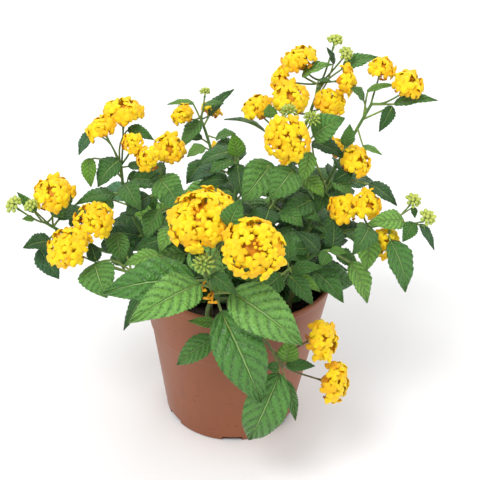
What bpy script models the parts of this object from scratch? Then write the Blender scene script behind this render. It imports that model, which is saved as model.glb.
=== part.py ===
"""A lantana in flower in its plastic pot: thin pot, potting soil, leafy stems, flower heads and bud heads.

Metres, +Z up. The origin is the centre of the pot's foot. -Y is the side that the photograph shows.
Blooms, leaves and stems are placed on lines of sight: a pair (across, down) is a point of the
480 x 480 photograph, and the depth beside it is its distance in millimetres behind the pot's axis.
"""

import math
from dataclasses import dataclass

import bmesh
import bpy
from mathutils import Matrix, Vector
from mathutils.bvhtree import BVHTree

MM = 0.001

# The pot, a thin nursery pot with a shoulder a third of the way down
POT_RIM_RADIUS = 70.0 * MM
POT_FOOT_RADIUS = 49.5 * MM
POT_HEIGHT = 123.0 * MM
POT_WALL = 1.6 * MM
POT_FLOOR = 2.0 * MM
POT_SHOULDER_HEIGHT = 78.0 * MM
POT_SHOULDER_STEP = 1.0 * MM
POT_LIP = 1.0 * MM
POT_SIDES = 32
NOTCH_COUNT = 6
NOTCH_WIDTH = 15.0 * MM
NOTCH_HEIGHT = 3.5 * MM
NOTCH_DEPTH = 9.0 * MM
NOTCH_FIRST_ANGLE = math.radians(-86)

# The soil fills the pot to below the rim
SOIL_TOP = 95.0 * MM
SOIL_CROWN = 3.0 * MM
SOIL_SIDES = 16
SOIL_GAP = 0.8 * MM
CLEARANCE = 0.3 * MM
STEM_ROOT_DEPTH = 14.0 * MM

# The line of sight of the photograph
EYE_PITCH = math.radians(30.5)
EYE_ROLL = math.radians(3.18)
EYE_DISTANCE = 0.691
EYE_AIM = Vector((0.001, 0.0, 0.145))
EYE_FOCAL = 966.0
EYE_CENTRE = 240.0

# Stems, petioles and flower stalks
STEM_RADIUS = 1.6 * MM
STEM_TIP_RADIUS = 1.1 * MM
STEM_SIDES = 5
STEM_REACH_AT_RIM = 60.0 * MM
STALK_RADIUS = 0.75 * MM
PETIOLE_RADIUS = 0.7 * MM
LONG_PETIOLE = 26.0 * MM
THIN_SIDES = 3
FINEST_EDGE = 0.01 * MM

# Leaf blades: egg-shaped, toothed, folded up a little along the midrib
LEAF_THICKNESS = 1.3 * MM
LEAF_TOOTH_SPACING = 14.5 * MM
LEAF_MOST_TEETH = 3
LEAF_MIDRIB_STOPS = (0.27, 0.74)
LEAF_NOTCH = 0.86
LEAF_FULLNESS = 1.15
LEAF_FOLD = math.radians(13)

# Which way the blades face: the photograph's side of the plant is turned to the light from the front
LEAF_LIGHT = Vector((0.0, -0.52, 0.85))
LEAF_SPREAD = 0.3

# How far a leaf's tip may be lifted and swayed to clear its neighbours, in millimetres
BENDS = (
    (0, 0), (5, 0), (-5, 0), (0, 5), (0, -5), (9, 4), (9, -4), (-9, 4), (-9, -4),
    (15, 0), (-15, 0), (4, 14), (4, -14),
)


@dataclass(frozen=True)
class Shoot:
    """A leafy stem from its hole in the soil to its tip, through points seen in the photograph."""

    name: str
    root: tuple
    points: tuple
    fillers: int = 0
    size: float = 40.0


@dataclass(frozen=True)
class Head:
    """A flower head or bud head, with the way that it faces as turn and tilt in degrees."""

    name: str
    shoot: str
    at: tuple
    depth: float
    width: float
    turn: float
    tilt: float
    florets: tuple


@dataclass(frozen=True)
class Leaf:
    """A leaf blade from base to tip, each seen at a depth, and its width in millimetres."""

    shoot: str
    base: tuple
    base_depth: float
    tip: tuple
    tip_depth: float
    width: float
    roll: float = 0.0
    arch: float = 0.10


# How many florets stand in each ring of a head, from its middle outwards
WIDE = (1, 5, 9)
LARGE = (1, 6)
MEDIUM = (1, 5)
SMALL = (1, 3)
BUDS = (1, 4, 0)

# A head's core: how far out and how far up its two rings are, as shares of the head's half width
HEAD_CORE = ((0.46, -0.26), (0.56, 0.12))

# How far each ring leans out, in degrees, and a floret's share of its head's half width
RING_TILTS = {WIDE: (0, 40, 76), LARGE: (0, 62), MEDIUM: (0, 62), SMALL: (0, 62), BUDS: (0, 62, 62)}
FLORET_SIZES = {WIDE: 0.28, LARGE: 0.38, MEDIUM: 0.43, SMALL: 0.53}

# Each root is (x, y) in millimetres on the soil, each point is (across, down, depth)
SHOOTS = (
    Shoot("front", (-2, -44), ((218, 300, -62), (205, 277, -84))),
    Shoot("front_low", (-16, -48), ((207, 316, -77), (217, 334, -82))),
    Shoot("trailing", (14, -48), ((252, 318, -80), (283, 367, -89))),
    Shoot("left", (-42, -6), ((100, 250, -10), (60, 231, -12), (46, 223, -18))),
    Shoot("left_front", (-38, -24), ((150, 276, -30), (124, 271, -35))),
    Shoot("top_left", (-28, 10), ((152, 245, 5), (127, 203, 3), (121, 165, 12))),
    Shoot("inner_left", (-18, -6), ((186, 246, -8), (172, 205, 0), (160, 172, 0)), 2, 44.0),
    Shoot("back_left", (-16, 32), ((213, 190, 55), (211, 150, 68), (200, 116, 76)), 2),
    Shoot("centre", (0, 8), ((232, 225, 8), (236, 190, 12), (238, 160, 10)), 2, 44.0),
    Shoot("top_centre", (12, -4), ((262, 230, -2), (282, 190, 0), (298, 140, -4)), 2, 44.0),
    Shoot("top_right", (14, 24), ((276, 200, 30), (300, 140, 36), (322, 80, 45)), 2),
    Shoot("right_top", (32, 14), ((310, 215, 20), (345, 150, 28), (372, 103, 30))),
    Shoot("right", (42, -4), ((318, 238, -8), (350, 231, -16), (395, 222, -21))),
    Shoot("right_middle", (30, -10), ((306, 230, -4), (325, 190, 3), (350, 176, 6)), 1, 42.0),
    Shoot("right_low", (38, -26), ((303, 262, -34), (322, 252, -36), (333, 250, -30)), 1),
    Shoot("inner_right", (18, -34), ((280, 285, -46), (290, 268, -54)), 1, 36.0),
    Shoot("back_right", (34, 34), ((318, 205, 70), (334, 178, 88)), 3, 46.0),
    Shoot("back", (4, 46), ((238, 205, 88), (232, 176, 108)), 3, 46.0),
    Shoot("back_far_left", (-36, 36), ((158, 215, 84), (140, 192, 98)), 3, 46.0),
)

HEADS = (
    Head("bloom_top_left_high", "top_left", (123, 113), 15, 31, 100, 82, LARGE),
    Head("bloom_top_left_low", "top_left", (101, 128), 2, 22, 190, 60, MEDIUM),
    Head("bloom_top_left_small", "top_left", (133, 143), -6, 15, 270, 30, SMALL),
    Head("bloom_inner_left_high", "inner_left", (169, 149), 10, 24, 300, 60, MEDIUM),
    Head("bloom_inner_left_low", "inner_left", (147, 158), -8, 18, 250, 15, SMALL),
    Head("bloom_left_high", "left", (54, 194), -12, 31, 250, 72, LARGE),
    Head("bloom_left_front", "left_front", (68, 248), -48, 31, 235, 48, LARGE),
    Head("bloom_left_inner", "left_front", (94, 222), -30, 30, 250, 55, LARGE),
    Head("bloom_front_left", "front", (202, 220), -72, 48, 235, 55, WIDE),
    Head("bloom_front_right", "front", (253, 249), -96, 42, 285, 42, WIDE),
    Head("bloom_trailing_high", "trailing", (321, 340), -72, 30, 330, 25, LARGE),
    Head("bloom_trailing_low", "trailing", (334, 382), -78, 30, 335, 12, LARGE),
    Head("bloom_top_centre", "top_centre", (287, 139), -14, 34, 270, 22, LARGE),
    Head("bloom_top_right_mid", "top_right", (291, 99), 26, 29, 250, 68, LARGE),
    Head("bloom_top_right_high", "top_right", (299, 60), 52, 26, 190, 62, MEDIUM),
    Head("bloom_top_right_under", "top_right", (281, 80), 52, 19, 200, 20, SMALL),
    Head("bloom_top_right_low", "top_right", (257, 108), 42, 22, 210, 60, MEDIUM),
    Head("bloom_top_right_back", "top_right", (330, 103), 32, 23, 290, 40, MEDIUM),
    Head("bloom_top_right_side", "top_right", (346, 80), 38, 22, 350, 15, MEDIUM),
    Head("bloom_right_top_high", "right_top", (382, 68), 38, 20, 300, 74, MEDIUM),
    Head("bloom_right_top_far", "right_top", (408, 85), 24, 24, 320, 66, MEDIUM),
    Head("bloom_back_left_near", "back_left", (182, 114), 66, 18, 220, 50, SMALL),
    Head("bloom_back_left_far", "back_left", (211, 110), 86, 16, 40, 60, SMALL),
    Head("bloom_right_middle_high", "right_middle", (356, 162), 6, 23, 320, 50, MEDIUM),
    Head("bloom_right_middle_low", "right_middle", (343, 209), -16, 22, 250, 40, MEDIUM),
    Head("bloom_right_inner", "right", (367, 205), -12, 22, 300, 56, MEDIUM),
    Head("bloom_right_low", "right", (385, 243), -24, 23, 290, 20, MEDIUM),
    Head("bloom_back", "back", (226, 150), 112, 27, 100, 60, MEDIUM),
    Head("bloom_back_right", "back_right", (338, 148), 96, 26, 60, 62, MEDIUM),
    Head("buds_left_far", "left", (14, 205), -26, 12, 200, 55, BUDS),
    Head("buds_left_near", "left", (31, 206), -27, 10, 180, 70, BUDS),
    Head("buds_front", "front", (204, 264), -90, 12, 250, 70, BUDS),
    Head("buds_top_high", "top_right", (335, 41), 52, 11, 40, 78, BUDS),
    Head("buds_top_low", "top_right", (346, 54), 44, 10, 290, 50, BUDS),
    Head("buds_top_centre_left", "top_centre", (289, 112), -4, 10, 250, 78, BUDS),
    Head("buds_top_centre_right", "top_centre", (312, 119), -4, 10, 300, 74, BUDS),
    Head("buds_back_left", "back_left", (205, 92), 82, 8, 90, 85, BUDS),
    Head("buds_right_high", "right", (413, 201), -14, 11, 320, 66, BUDS),
    Head("buds_right_low", "right", (427, 218), -24, 12, 330, 58, BUDS),
)

LEAVES = (
    Leaf("front", (196, 281), -88, (103, 294), -94, 27, 8, 0.14),
    Leaf("front", (199, 284), -90, (128, 326), -122, 24, 0, 0.10),
    Leaf("front", (212, 275), -88, (238, 295), -106, 10, 0, 0.12),
    Leaf("front", (200, 265), -84, (197, 241), -80, 10, 0, 0.05),
    Leaf("front", (221, 311), -86, (261, 402), -102, 30, 0, 0.16),
    Leaf("front", (231, 292), -84, (303, 345), -104, 29, 0, 0.14),
    Leaf("front", (226, 229), -84, (240, 201), -78, 14, 0, 0.05),
    Leaf("front_low", (216, 324), -82, (188, 321), -86, 7, 0, 0.12),
    Leaf("front_low", (214, 337), -82, (177, 365), -84, 15, 0, 0.12),
    Leaf("front_low", (219, 340), -84, (219, 359), -86, 7, 0, 0.05),
    Leaf("trailing", (280, 373), -92, (249, 439), -90, 26, 0, 0.16),
    Leaf("trailing", (282, 362), -86, (283, 338), -84, 14, 0, 0.05),
    Leaf("trailing", (286, 365), -86, (315, 366), -84, 8, 0, 0.12),
    Leaf("trailing", (279, 368), -94, (265, 366), -98, 7, 0, 0.05),
    Leaf("trailing", (286, 380), -80, (295, 420), -74, 8, 0, 0.08),
    Leaf("left", (36, 212), -18, (17, 192), -16, 7, 0, 0.10),
    Leaf("left", (34, 219), -24, (22, 219), -27, 5, 0, 0.05),
    Leaf("left", (52, 216), -8, (76, 192), 2, 16, 0, 0.05),
    Leaf("left", (52, 242), -24, (23, 248), -34, 14, 0, 0.12),
    Leaf("left", (40, 248), -22, (59, 279), -28, 15, 0, 0.10),
    Leaf("left_front", (95, 263), -44, (107, 298), -60, 24, 0, 0.14),
    Leaf("left_front", (97, 261), -40, (90, 242), -32, 10, 0, 0.05),
    Leaf("left_front", (117, 233), -22, (123, 262), -30, 16, 0, 0.10),
    Leaf("left_front", (159, 255), -44, (124, 265), -50, 11, 0, 0.12),
    Leaf("left_front", (140, 292), -40, (130, 316), -46, 8, 0, 0.05),
    Leaf("left_front", (146, 290), -46, (124, 330), -54, 10, 0, 0.05),
    Leaf("top_left", (92, 131), 2, (75, 152), -6, 10, 0, 0.12),
    Leaf("top_left", (89, 158), 6, (91, 187), -4, 11, 0, 0.05),
    Leaf("top_left", (120, 160), 6, (98, 187), -2, 18, 0, 0.12),
    Leaf("top_left", (128, 128), 12, (154, 140), 6, 9, 0, 0.10),
    Leaf("top_left", (115, 195), 0, (76, 200), -12, 12, 0, 0.14),
    Leaf("top_left", (111, 199), 4, (98, 218), -4, 14, 0, 0.05),
    Leaf("top_left", (128, 176), 12, (144, 182), 14, 10, 0, 0.05),
    Leaf("top_left", (128, 166), 14, (150, 168), 20, 8, 0, 0.05),
    Leaf("inner_left", (159, 178), -2, (182, 206), -16, 20, 0, 0.14),
    Leaf("inner_left", (150, 196), -6, (126, 216), -14, 16, 0, 0.12),
    Leaf("inner_left", (160, 210), -8, (146, 240), -16, 15, 0, 0.12),
    Leaf("inner_left", (176, 226), -12, (160, 252), -34, 15, 0, 0.10),
    Leaf("inner_left", (152, 194), 2, (154, 211), -2, 8, 0, 0.05),
    Leaf("back_left", (194, 106), 76, (168, 110), 72, 7, 0, 0.08),
    Leaf("back_left", (201, 121), 72, (176, 137), 62, 14, 0, 0.08),
    Leaf("back_left", (211, 117), 80, (238, 93), 84, 12, 0, 0.08),
    Leaf("back_left", (204, 105), 72, (224, 104), 66, 7, 0, 0.08),
    Leaf("back_left", (205, 147), 58, (187, 157), 52, 12, 0, 0.08),
    Leaf("back_left", (216, 138), 66, (236, 134), 62, 12, 0, 0.08),
    Leaf("centre", (232, 152), 16, (196, 167), 10, 14, 0, 0.12),
    Leaf("centre", (233, 161), 8, (209, 174), -2, 12, 0, 0.10),
    Leaf("centre", (218, 168), 22, (189, 183), 12, 12, 0, 0.10),
    Leaf("centre", (238, 157), 12, (233, 133), 18, 12, 0, 0.08),
    Leaf("centre", (238, 164), 6, (238, 191), -6, 13, 0, 0.10),
    Leaf("centre", (248, 178), 8, (262, 160), 14, 12, 0, 0.10),
    Leaf("top_centre", (272, 163), -2, (242, 202), -20, 23, 0, 0.14),
    Leaf("top_centre", (264, 130), 4, (224, 120), 2, 12, 40, 0.10),
    Leaf("top_centre", (313, 136), 0, (345, 118), -2, 19, 0, 0.10),
    Leaf("top_centre", (309, 151), -6, (301, 183), -16, 12, 0, 0.10),
    Leaf("top_centre", (297, 171), -12, (276, 204), -26, 20, 0, 0.14),
    Leaf("top_centre", (269, 209), -20, (263, 227), -32, 16, 0, 0.10),
    Leaf("top_centre", (280, 210), -16, (303, 227), -26, 14, 0, 0.12),
    Leaf("top_centre", (270, 118), 14, (269, 104), 18, 10, 0, 0.05),
    Leaf("top_right", (302, 76), 48, (328, 60), 42, 13, 0, 0.10),
    Leaf("top_right", (341, 66), 44, (375, 53), 42, 12, 0, 0.10),
    Leaf("top_right", (334, 64), 48, (322, 51), 50, 7, 0, 0.05),
    Leaf("top_right", (318, 80), 44, (332, 82), 38, 6, 0, 0.05),
    Leaf("right_top", (367, 91), 32, (396, 85), 28, 6, 0, 0.08),
    Leaf("right_top", (394, 104), 28, (436, 96), 22, 10, 0, 0.12),
    Leaf("right_top", (392, 106), 24, (379, 132), 14, 9, 0, 0.10),
    Leaf("right_top", (364, 99), 30, (350, 87), 28, 10, 0, 0.08),
    Leaf("right_top", (363, 146), 16, (382, 155), 8, 6, 0, 0.05),
    Leaf("right_top", (345, 146), 18, (350, 124), 22, 10, 0, 0.08),
    Leaf("right_middle", (312, 142), 16, (345, 159), 6, 14, 0, 0.10),
    Leaf("right_middle", (303, 178), 0, (324, 197), -12, 14, 0, 0.10),
    Leaf("right_middle", (352, 165), 2, (333, 171), -4, 10, 0, 0.08),
    Leaf("right_middle", (332, 177), 4, (360, 199), -8, 18, 0, 0.12),
    Leaf("right_middle", (367, 186), -2, (393, 210), -12, 12, 0, 0.10),
    Leaf("right", (404, 221), -22, (367, 224), -30, 14, 0, 0.12),
    Leaf("right", (411, 220), -22, (397, 237), -32, 10, 0, 0.05),
    Leaf("right", (413, 207), -18, (415, 218), -22, 5, 0, 0.05),
    Leaf("right", (420, 224), -22, (434, 250), -28, 7, 0, 0.08),
    Leaf("right", (366, 234), -28, (366, 271), -40, 17, 0, 0.12),
    Leaf("right", (390, 241), -30, (405, 292), -40, 19, 0, 0.12),
    Leaf("right_low", (350, 262), -22, (367, 303), -30, 16, 0, 0.12),
    Leaf("right_low", (336, 254), -18, (358, 264), -16, 12, 0, 0.08),
    Leaf("right_low", (332, 249), -28, (333, 219), -22, 14, 0, 0.10),
    Leaf("right_low", (327, 252), -36, (321, 266), -42, 10, 0, 0.05),
    Leaf("right_low", (330, 250), -34, (348, 253), -38, 6, 0, 0.08),
    Leaf("right_low", (333, 236), -10, (301, 221), -16, 15, 0, 0.12),
    Leaf("right_low", (319, 252), -38, (295, 231), -36, 11, 0, 0.12),
    Leaf("inner_right", (288, 262), -54, (288, 231), -50, 10, 0, 0.10),
    Leaf("inner_right", (292, 270), -56, (323, 267), -62, 9, 0, 0.12),
    Leaf("inner_right", (292, 273), -58, (322, 290), -64, 8, 0, 0.10),
    Leaf("inner_right", (289, 275), -60, (313, 305), -70, 12, 0, 0.10),
    Leaf("inner_right", (281, 275), -60, (256, 298), -72, 15, 0, 0.12),
)


def eye_frame():
    """The eye's place, the way that it looks, and its right and up."""
    forward = Vector((0.0, math.cos(EYE_PITCH), -math.sin(EYE_PITCH)))
    level = Vector((1.0, 0.0, 0.0))
    rise = level.cross(forward)
    right = math.cos(EYE_ROLL) * level + math.sin(EYE_ROLL) * rise
    up = math.cos(EYE_ROLL) * rise - math.sin(EYE_ROLL) * level
    return EYE_AIM - EYE_DISTANCE * forward, forward, right, up


def seen(across, down, depth):
    """The point that shows at (across, down), depth millimetres behind the pot's axis."""
    eye, forward, right, up = eye_frame()
    ray = forward + ((across - EYE_CENTRE) * right + (EYE_CENTRE - down) * up) / EYE_FOCAL
    return eye + ray * ((depth * MM - eye.y) / ray.y)


def material(name, colour, roughness, metallic=0.0):
    """A plain Principled material."""
    made = bpy.data.materials.new(name)
    made.use_nodes = True
    shader = made.node_tree.nodes["Principled BSDF"]
    shader.inputs["Base Color"].default_value = (*colour, 1.0)
    shader.inputs["Roughness"].default_value = roughness
    shader.inputs["Metallic"].default_value = metallic
    return made


def mesh_object(name, vertices, faces, finish=None):
    """A mesh object in the scene, with its normals turned outwards."""
    shape = bmesh.new()
    corners = [shape.verts.new(point) for point in vertices]
    for face in faces:
        shape.faces.new([corners[i] for i in face])
    bmesh.ops.recalc_face_normals(shape, faces=shape.faces)
    bmesh.ops.triangulate(shape, faces=shape.faces)
    mesh = bpy.data.meshes.new(name)
    shape.to_mesh(mesh)
    shape.free()
    made = bpy.data.objects.new(name, mesh)
    bpy.context.scene.collection.objects.link(made)
    if finish:
        mesh.materials.append(finish)
    return made


def smooth_path(points, steps):
    """Points along a smooth curve through the given points (Catmull-Rom), steps to a span."""
    padded = [2 * points[0] - points[1], *points, 2 * points[-1] - points[-2]]
    path = []
    for a, b, c, d in zip(padded, padded[1:], padded[2:], padded[3:]):
        for step in range(steps):
            t = step / steps
            square = 2 * a - 5 * b + 4 * c - d
            cube = 3 * b - a - 3 * c + d
            path.append(0.5 * (2 * b + (c - a) * t + square * t**2 + cube * t**3))
    return [*path, points[-1]]


def tube(path, radii, sides):
    """The vertices and faces of a closed tube along a path, with a radius at each point."""
    vertices, faces = [], []
    side = (path[1] - path[0]).orthogonal().normalized()
    for i, (centre, radius) in enumerate(zip(path, radii)):
        along = (path[min(i + 1, len(path) - 1)] - path[max(i - 1, 0)]).normalized()
        side = (side - along * side.dot(along)).normalized()
        other = along.cross(side)
        for k in range(sides):
            angle = 2 * math.pi * k / sides
            vertices.append(centre + radius * (math.cos(angle) * side + math.sin(angle) * other))
    for i in range(len(path) - 1):
        for k in range(sides):
            a, b = i * sides + k, i * sides + (k + 1) % sides
            faces.append((a, b, b + sides, a + sides))
    faces.append(tuple(reversed(range(sides))))
    faces.append(tuple(range(len(vertices) - sides, len(vertices))))
    return vertices, faces


def aim(turn, tilt):
    """The unit vector turned from +X about Z and tilted up, in degrees."""
    turn, tilt = math.radians(turn), math.radians(tilt)
    return Vector((math.cos(tilt) * math.cos(turn), math.cos(tilt) * math.sin(turn), math.sin(tilt)))


def build_pot(finish):
    """The pot: one turned wall and floor, with notches cut in the foot to drain it."""
    slope = (POT_RIM_RADIUS - POT_SHOULDER_STEP - POT_FOOT_RADIUS) / POT_HEIGHT
    low_shoulder = POT_FOOT_RADIUS + slope * POT_SHOULDER_HEIGHT
    profile = (
        (0.0, 0.0),
        (POT_FOOT_RADIUS - 0.8 * MM, 0.0),
        (POT_FOOT_RADIUS, 0.8 * MM),
        (low_shoulder, POT_SHOULDER_HEIGHT),
        (low_shoulder + POT_SHOULDER_STEP, POT_SHOULDER_HEIGHT + POT_SHOULDER_STEP),
        (POT_RIM_RADIUS - POT_LIP, POT_HEIGHT - 5 * MM),
        (POT_RIM_RADIUS, POT_HEIGHT - 3.5 * MM),
        (POT_RIM_RADIUS, POT_HEIGHT),
        (POT_RIM_RADIUS - POT_WALL - POT_LIP, POT_HEIGHT),
        (POT_FOOT_RADIUS - POT_WALL, NOTCH_HEIGHT + POT_FLOOR),
        (0.0, NOTCH_HEIGHT + POT_FLOOR),
    )
    shape = bmesh.new()
    corners = [shape.verts.new((radius, 0.0, height)) for radius, height in profile]
    edges = [shape.edges.new(pair) for pair in zip(corners, corners[1:])]
    bmesh.ops.spin(
        shape, geom=corners + edges, cent=(0, 0, 0), axis=(0, 0, 1), angle=2 * math.pi, steps=POT_SIDES
    )
    bmesh.ops.remove_doubles(shape, verts=shape.verts, dist=0.01 * MM)
    bmesh.ops.recalc_face_normals(shape, faces=shape.faces)
    mesh = bpy.data.meshes.new("pot")
    shape.to_mesh(mesh)
    shape.free()
    mesh.materials.append(finish)
    pot = bpy.data.objects.new("pot", mesh)
    bpy.context.scene.collection.objects.link(pot)
    for i in range(NOTCH_COUNT):
        cut_notch(pot, NOTCH_FIRST_ANGLE + i * 2 * math.pi / NOTCH_COUNT)
    mesh.shade_smooth()
    mesh.set_sharp_from_angle(angle=math.radians(30))
    return pot


def cut_notch(pot, angle):
    """A drainage notch through the foot ring, from below, at one angle."""
    bpy.ops.mesh.primitive_cube_add(size=1.0)
    cutter = bpy.context.object
    cutter.name = "notch_cutter"
    cutter.scale = (NOTCH_DEPTH * 2, NOTCH_WIDTH, 2 * NOTCH_HEIGHT - 1.0 * MM)
    cutter.rotation_euler = (0.0, 0.0, angle)
    reach = POT_FOOT_RADIUS - 3 * MM
    cutter.location = (reach * math.cos(angle), reach * math.sin(angle), 0.0)
    cutter.hide_render = True
    cutter.display_type = "WIRE"
    cut = pot.modifiers.new("notch", "BOOLEAN")
    cut.operation = "DIFFERENCE"
    cut.object = cutter


def inner_radius(height):
    """The radius of the pot's hollow at a height."""
    low, floor = POT_FOOT_RADIUS - POT_WALL, NOTCH_HEIGHT + POT_FLOOR
    rim = POT_RIM_RADIUS - POT_WALL - POT_LIP
    return low + (rim - low) * (height - floor) / (POT_HEIGHT - floor)


def build_soil(finish, shoots):
    """The soil: a plug that fills the pot to its level, with a plain hole for each stem."""
    bottom = NOTCH_HEIGHT + POT_FLOOR + CLEARANCE
    profile = (
        (0.0, bottom),
        (inner_radius(bottom) - SOIL_GAP, bottom),
        (inner_radius(SOIL_TOP) - SOIL_GAP - 0.5 * MM, SOIL_TOP - 1.0 * MM),
        (42 * MM, SOIL_TOP + 0.6 * SOIL_CROWN),
        (0.0, SOIL_TOP + SOIL_CROWN),
    )
    vertices, faces = [Vector((0, 0, profile[0][1])), Vector((0, 0, profile[-1][1]))], []
    rings = profile[1:-1]
    for ring, (radius, height) in enumerate(rings):
        for k in range(SOIL_SIDES):
            angle = 2 * math.pi * k / SOIL_SIDES
            bump = 0.8 * MM * math.sin(5 * angle + ring) if ring == len(rings) - 1 else 0.0
            vertices.append(Vector((radius * math.cos(angle), radius * math.sin(angle), height + bump)))
    for k in range(SOIL_SIDES):
        after = (k + 1) % SOIL_SIDES
        faces.append((0, 2 + after, 2 + k))
        faces.append((1, 2 + (len(rings) - 1) * SOIL_SIDES + k, 2 + (len(rings) - 1) * SOIL_SIDES + after))
        for ring in range(len(rings) - 1):
            low, high = 2 + ring * SOIL_SIDES, 2 + (ring + 1) * SOIL_SIDES
            faces.append((low + k, low + after, high + after, high + k))
    soil = mesh_object("soil", vertices, faces, finish)
    holes = bpy.data.collections.new("stem_holes")
    for shoot in shoots:
        x, y = shoot.root
        foot = Vector((x * MM, y * MM, SOIL_TOP - STEM_ROOT_DEPTH - CLEARANCE))
        top = Vector((x * MM, y * MM, SOIL_TOP + 3 * SOIL_CROWN))
        radius = STEM_RADIUS + 2 * CLEARANCE
        cutter = mesh_object("hole_cutter", *tube([foot, top], [radius, radius], STEM_SIDES))
        move_to(cutter, holes)
    boolean_collection(soil, holes, "DIFFERENCE")
    return soil


def move_to(made, collection):
    """Takes an object out of the scene's collection and into another."""
    bpy.context.scene.collection.objects.unlink(made)
    collection.objects.link(made)


def boolean_collection(base, collection, operation, solver="EXACT"):
    """One Boolean of a whole collection on a base object, applied, with the collection then removed."""
    step = base.modifiers.new("join", "BOOLEAN")
    step.operation = operation
    step.solver = solver
    step.operand_type = "COLLECTION"
    step.collection = collection
    apply_modifiers(base)
    keep_outer_shell(base.data)
    for tool in list(collection.objects):
        bpy.data.objects.remove(tool)
    bpy.data.collections.remove(collection)


def keep_outer_shell(mesh):
    """Fills sealed hollows and drops loose scraps, by keeping only a mesh's largest shell."""
    shape = bmesh.new()
    shape.from_mesh(mesh)
    bmesh.ops.triangulate(shape, faces=shape.faces)
    bmesh.ops.dissolve_degenerate(shape, dist=FINEST_EDGE, edges=shape.edges)
    unseen = set(shape.faces)
    shells = []
    while unseen:
        shell, front = set(), [unseen.pop()]
        while front:
            face = front.pop()
            shell.add(face)
            near = [other for edge in face.edges if len(edge.link_faces) == 2 for other in edge.link_faces]
            front += [other for other in near if other in unseen]
            unseen.difference_update(near)
        shells.append(shell)
    largest = max(shells, key=len)
    bmesh.ops.delete(shape, geom=[face for face in shape.faces if face not in largest], context="FACES")
    shape.to_mesh(mesh)
    shape.free()


def apply_modifiers(made):
    """Replaces the object's mesh with its evaluated mesh."""
    graph = bpy.context.evaluated_depsgraph_get()
    finished = bpy.data.meshes.new_from_object(made.evaluated_get(graph))
    made.modifiers.clear()
    made.data = finished


class LeafShape:
    """A leaf blade's surface: where the point u along and v across it lies."""

    def __init__(self, base, tip, width, roll, arch, light=LEAF_LIGHT):
        self.base = base
        self.length = (tip - base).length
        self.along = (tip - base).normalized()
        outward = Vector((base.x, base.y, 0.0)).normalized()
        lift = light + LEAF_SPREAD * outward
        raised = (lift - self.along * lift.dot(self.along)).normalized()
        self.up = Matrix.Rotation(math.radians(roll), 3, self.along) @ raised
        self.side = self.up.cross(self.along)
        self.half_width = width / 2
        self.arch = arch * self.length

    def spread(self, u):
        """The share of the half width that the blade has at u."""
        return max(0.0, math.sin(math.pi * u**0.64)) ** 0.85

    def point(self, u, v, height=0.0):
        """The point at u from base to tip and v from side to side, height above the blade."""
        reach = self.half_width * self.spread(u) * v
        rise = self.arch * 4 * u * (1 - u) + abs(reach) * math.sin(LEAF_FOLD) + height
        run = self.along * self.length * u
        return self.base + run + self.side * reach * math.cos(LEAF_FOLD) + self.up * rise


def leaf_solid(shape, petiole):
    """The vertices and faces of a toothed blade with its petiole, alike on both faces of the blade."""
    teeth = max(1, min(LEAF_MOST_TEETH, round(shape.length / LEAF_TOOTH_SPACING)))
    count = 2 * teeth
    rim = []
    for i in range(count):
        u = (i + 1) / (count + 1)
        rim.append((u + 0.03, 1.0) if i % 2 else (u, LEAF_NOTCH))
    ribs = (LEAF_MIDRIB_STOPS[0], max(LEAF_MIDRIB_STOPS[1], rim[-2][0] + 0.01))
    vertices, faces = petiole_rings(shape, petiole)
    last = len(vertices) - 4
    tip = len(vertices)
    vertices.append(shape.point(1, 0))
    edges = []
    for corner, sign in ((0, 1), (2, -1)):
        edges.append([last + corner, *range(len(vertices), len(vertices) + count), tip])
        vertices += [shape.point(u, sign * v) for u, v in rim]
    midribs = []
    for corner, sign in ((1, 1), (3, -1)):
        midribs.append([last + corner, *range(len(vertices), len(vertices) + len(ribs)), tip])
        vertices += [shape.point(u, 0, sign * LEAF_THICKNESS / 2 * shape.spread(u)) for u in ribs]
    rim_stops = [0, *(u for u, _ in rim), 1]
    rib_stops = [0, *ribs, 1]
    for rib in midribs:
        for edge in edges:
            faces += strip(edge, rim_stops, rib, rib_stops)
    return vertices, faces


def strip(edge, edge_stops, rib, rib_stops):
    """The triangles between a blade's edge and its midrib, which meet at the tip."""
    faces = []
    i = j = 0
    while i < len(edge) - 1 or j < len(rib) - 1:
        along_edge = j == len(rib) - 1 or (i < len(edge) - 1 and edge_stops[i + 1] <= rib_stops[j + 1])
        corners = (edge[i], edge[i + 1], rib[j]) if along_edge else (edge[i], rib[j + 1], rib[j])
        if len(set(corners)) == 3:
            faces.append(corners)
        i, j = (i + 1, j) if along_edge else (i, j + 1)
    return faces


def petiole_rings(shape, petiole):
    """Square rings along a petiole, closed at the stem and open where the blade begins."""
    vertices, faces = [], []
    for i, centre in enumerate(petiole):
        along = (petiole[min(i + 1, len(petiole) - 1)] - petiole[max(i - 1, 0)]).normalized()
        if i == len(petiole) - 1:
            along = (along + shape.along).normalized()
        side = (shape.side - along * shape.side.dot(along)).normalized()
        up = along.cross(side)
        for direction in (side, up, -side, -up):
            vertices.append(centre + PETIOLE_RADIUS * direction)
    for i in range(len(petiole) - 1):
        for k in range(4):
            a, b = 4 * i + k, 4 * i + (k + 1) % 4
            faces.append((a, b, b + 4, a + 4))
    faces.append((3, 2, 1, 0))
    return vertices, faces


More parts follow.
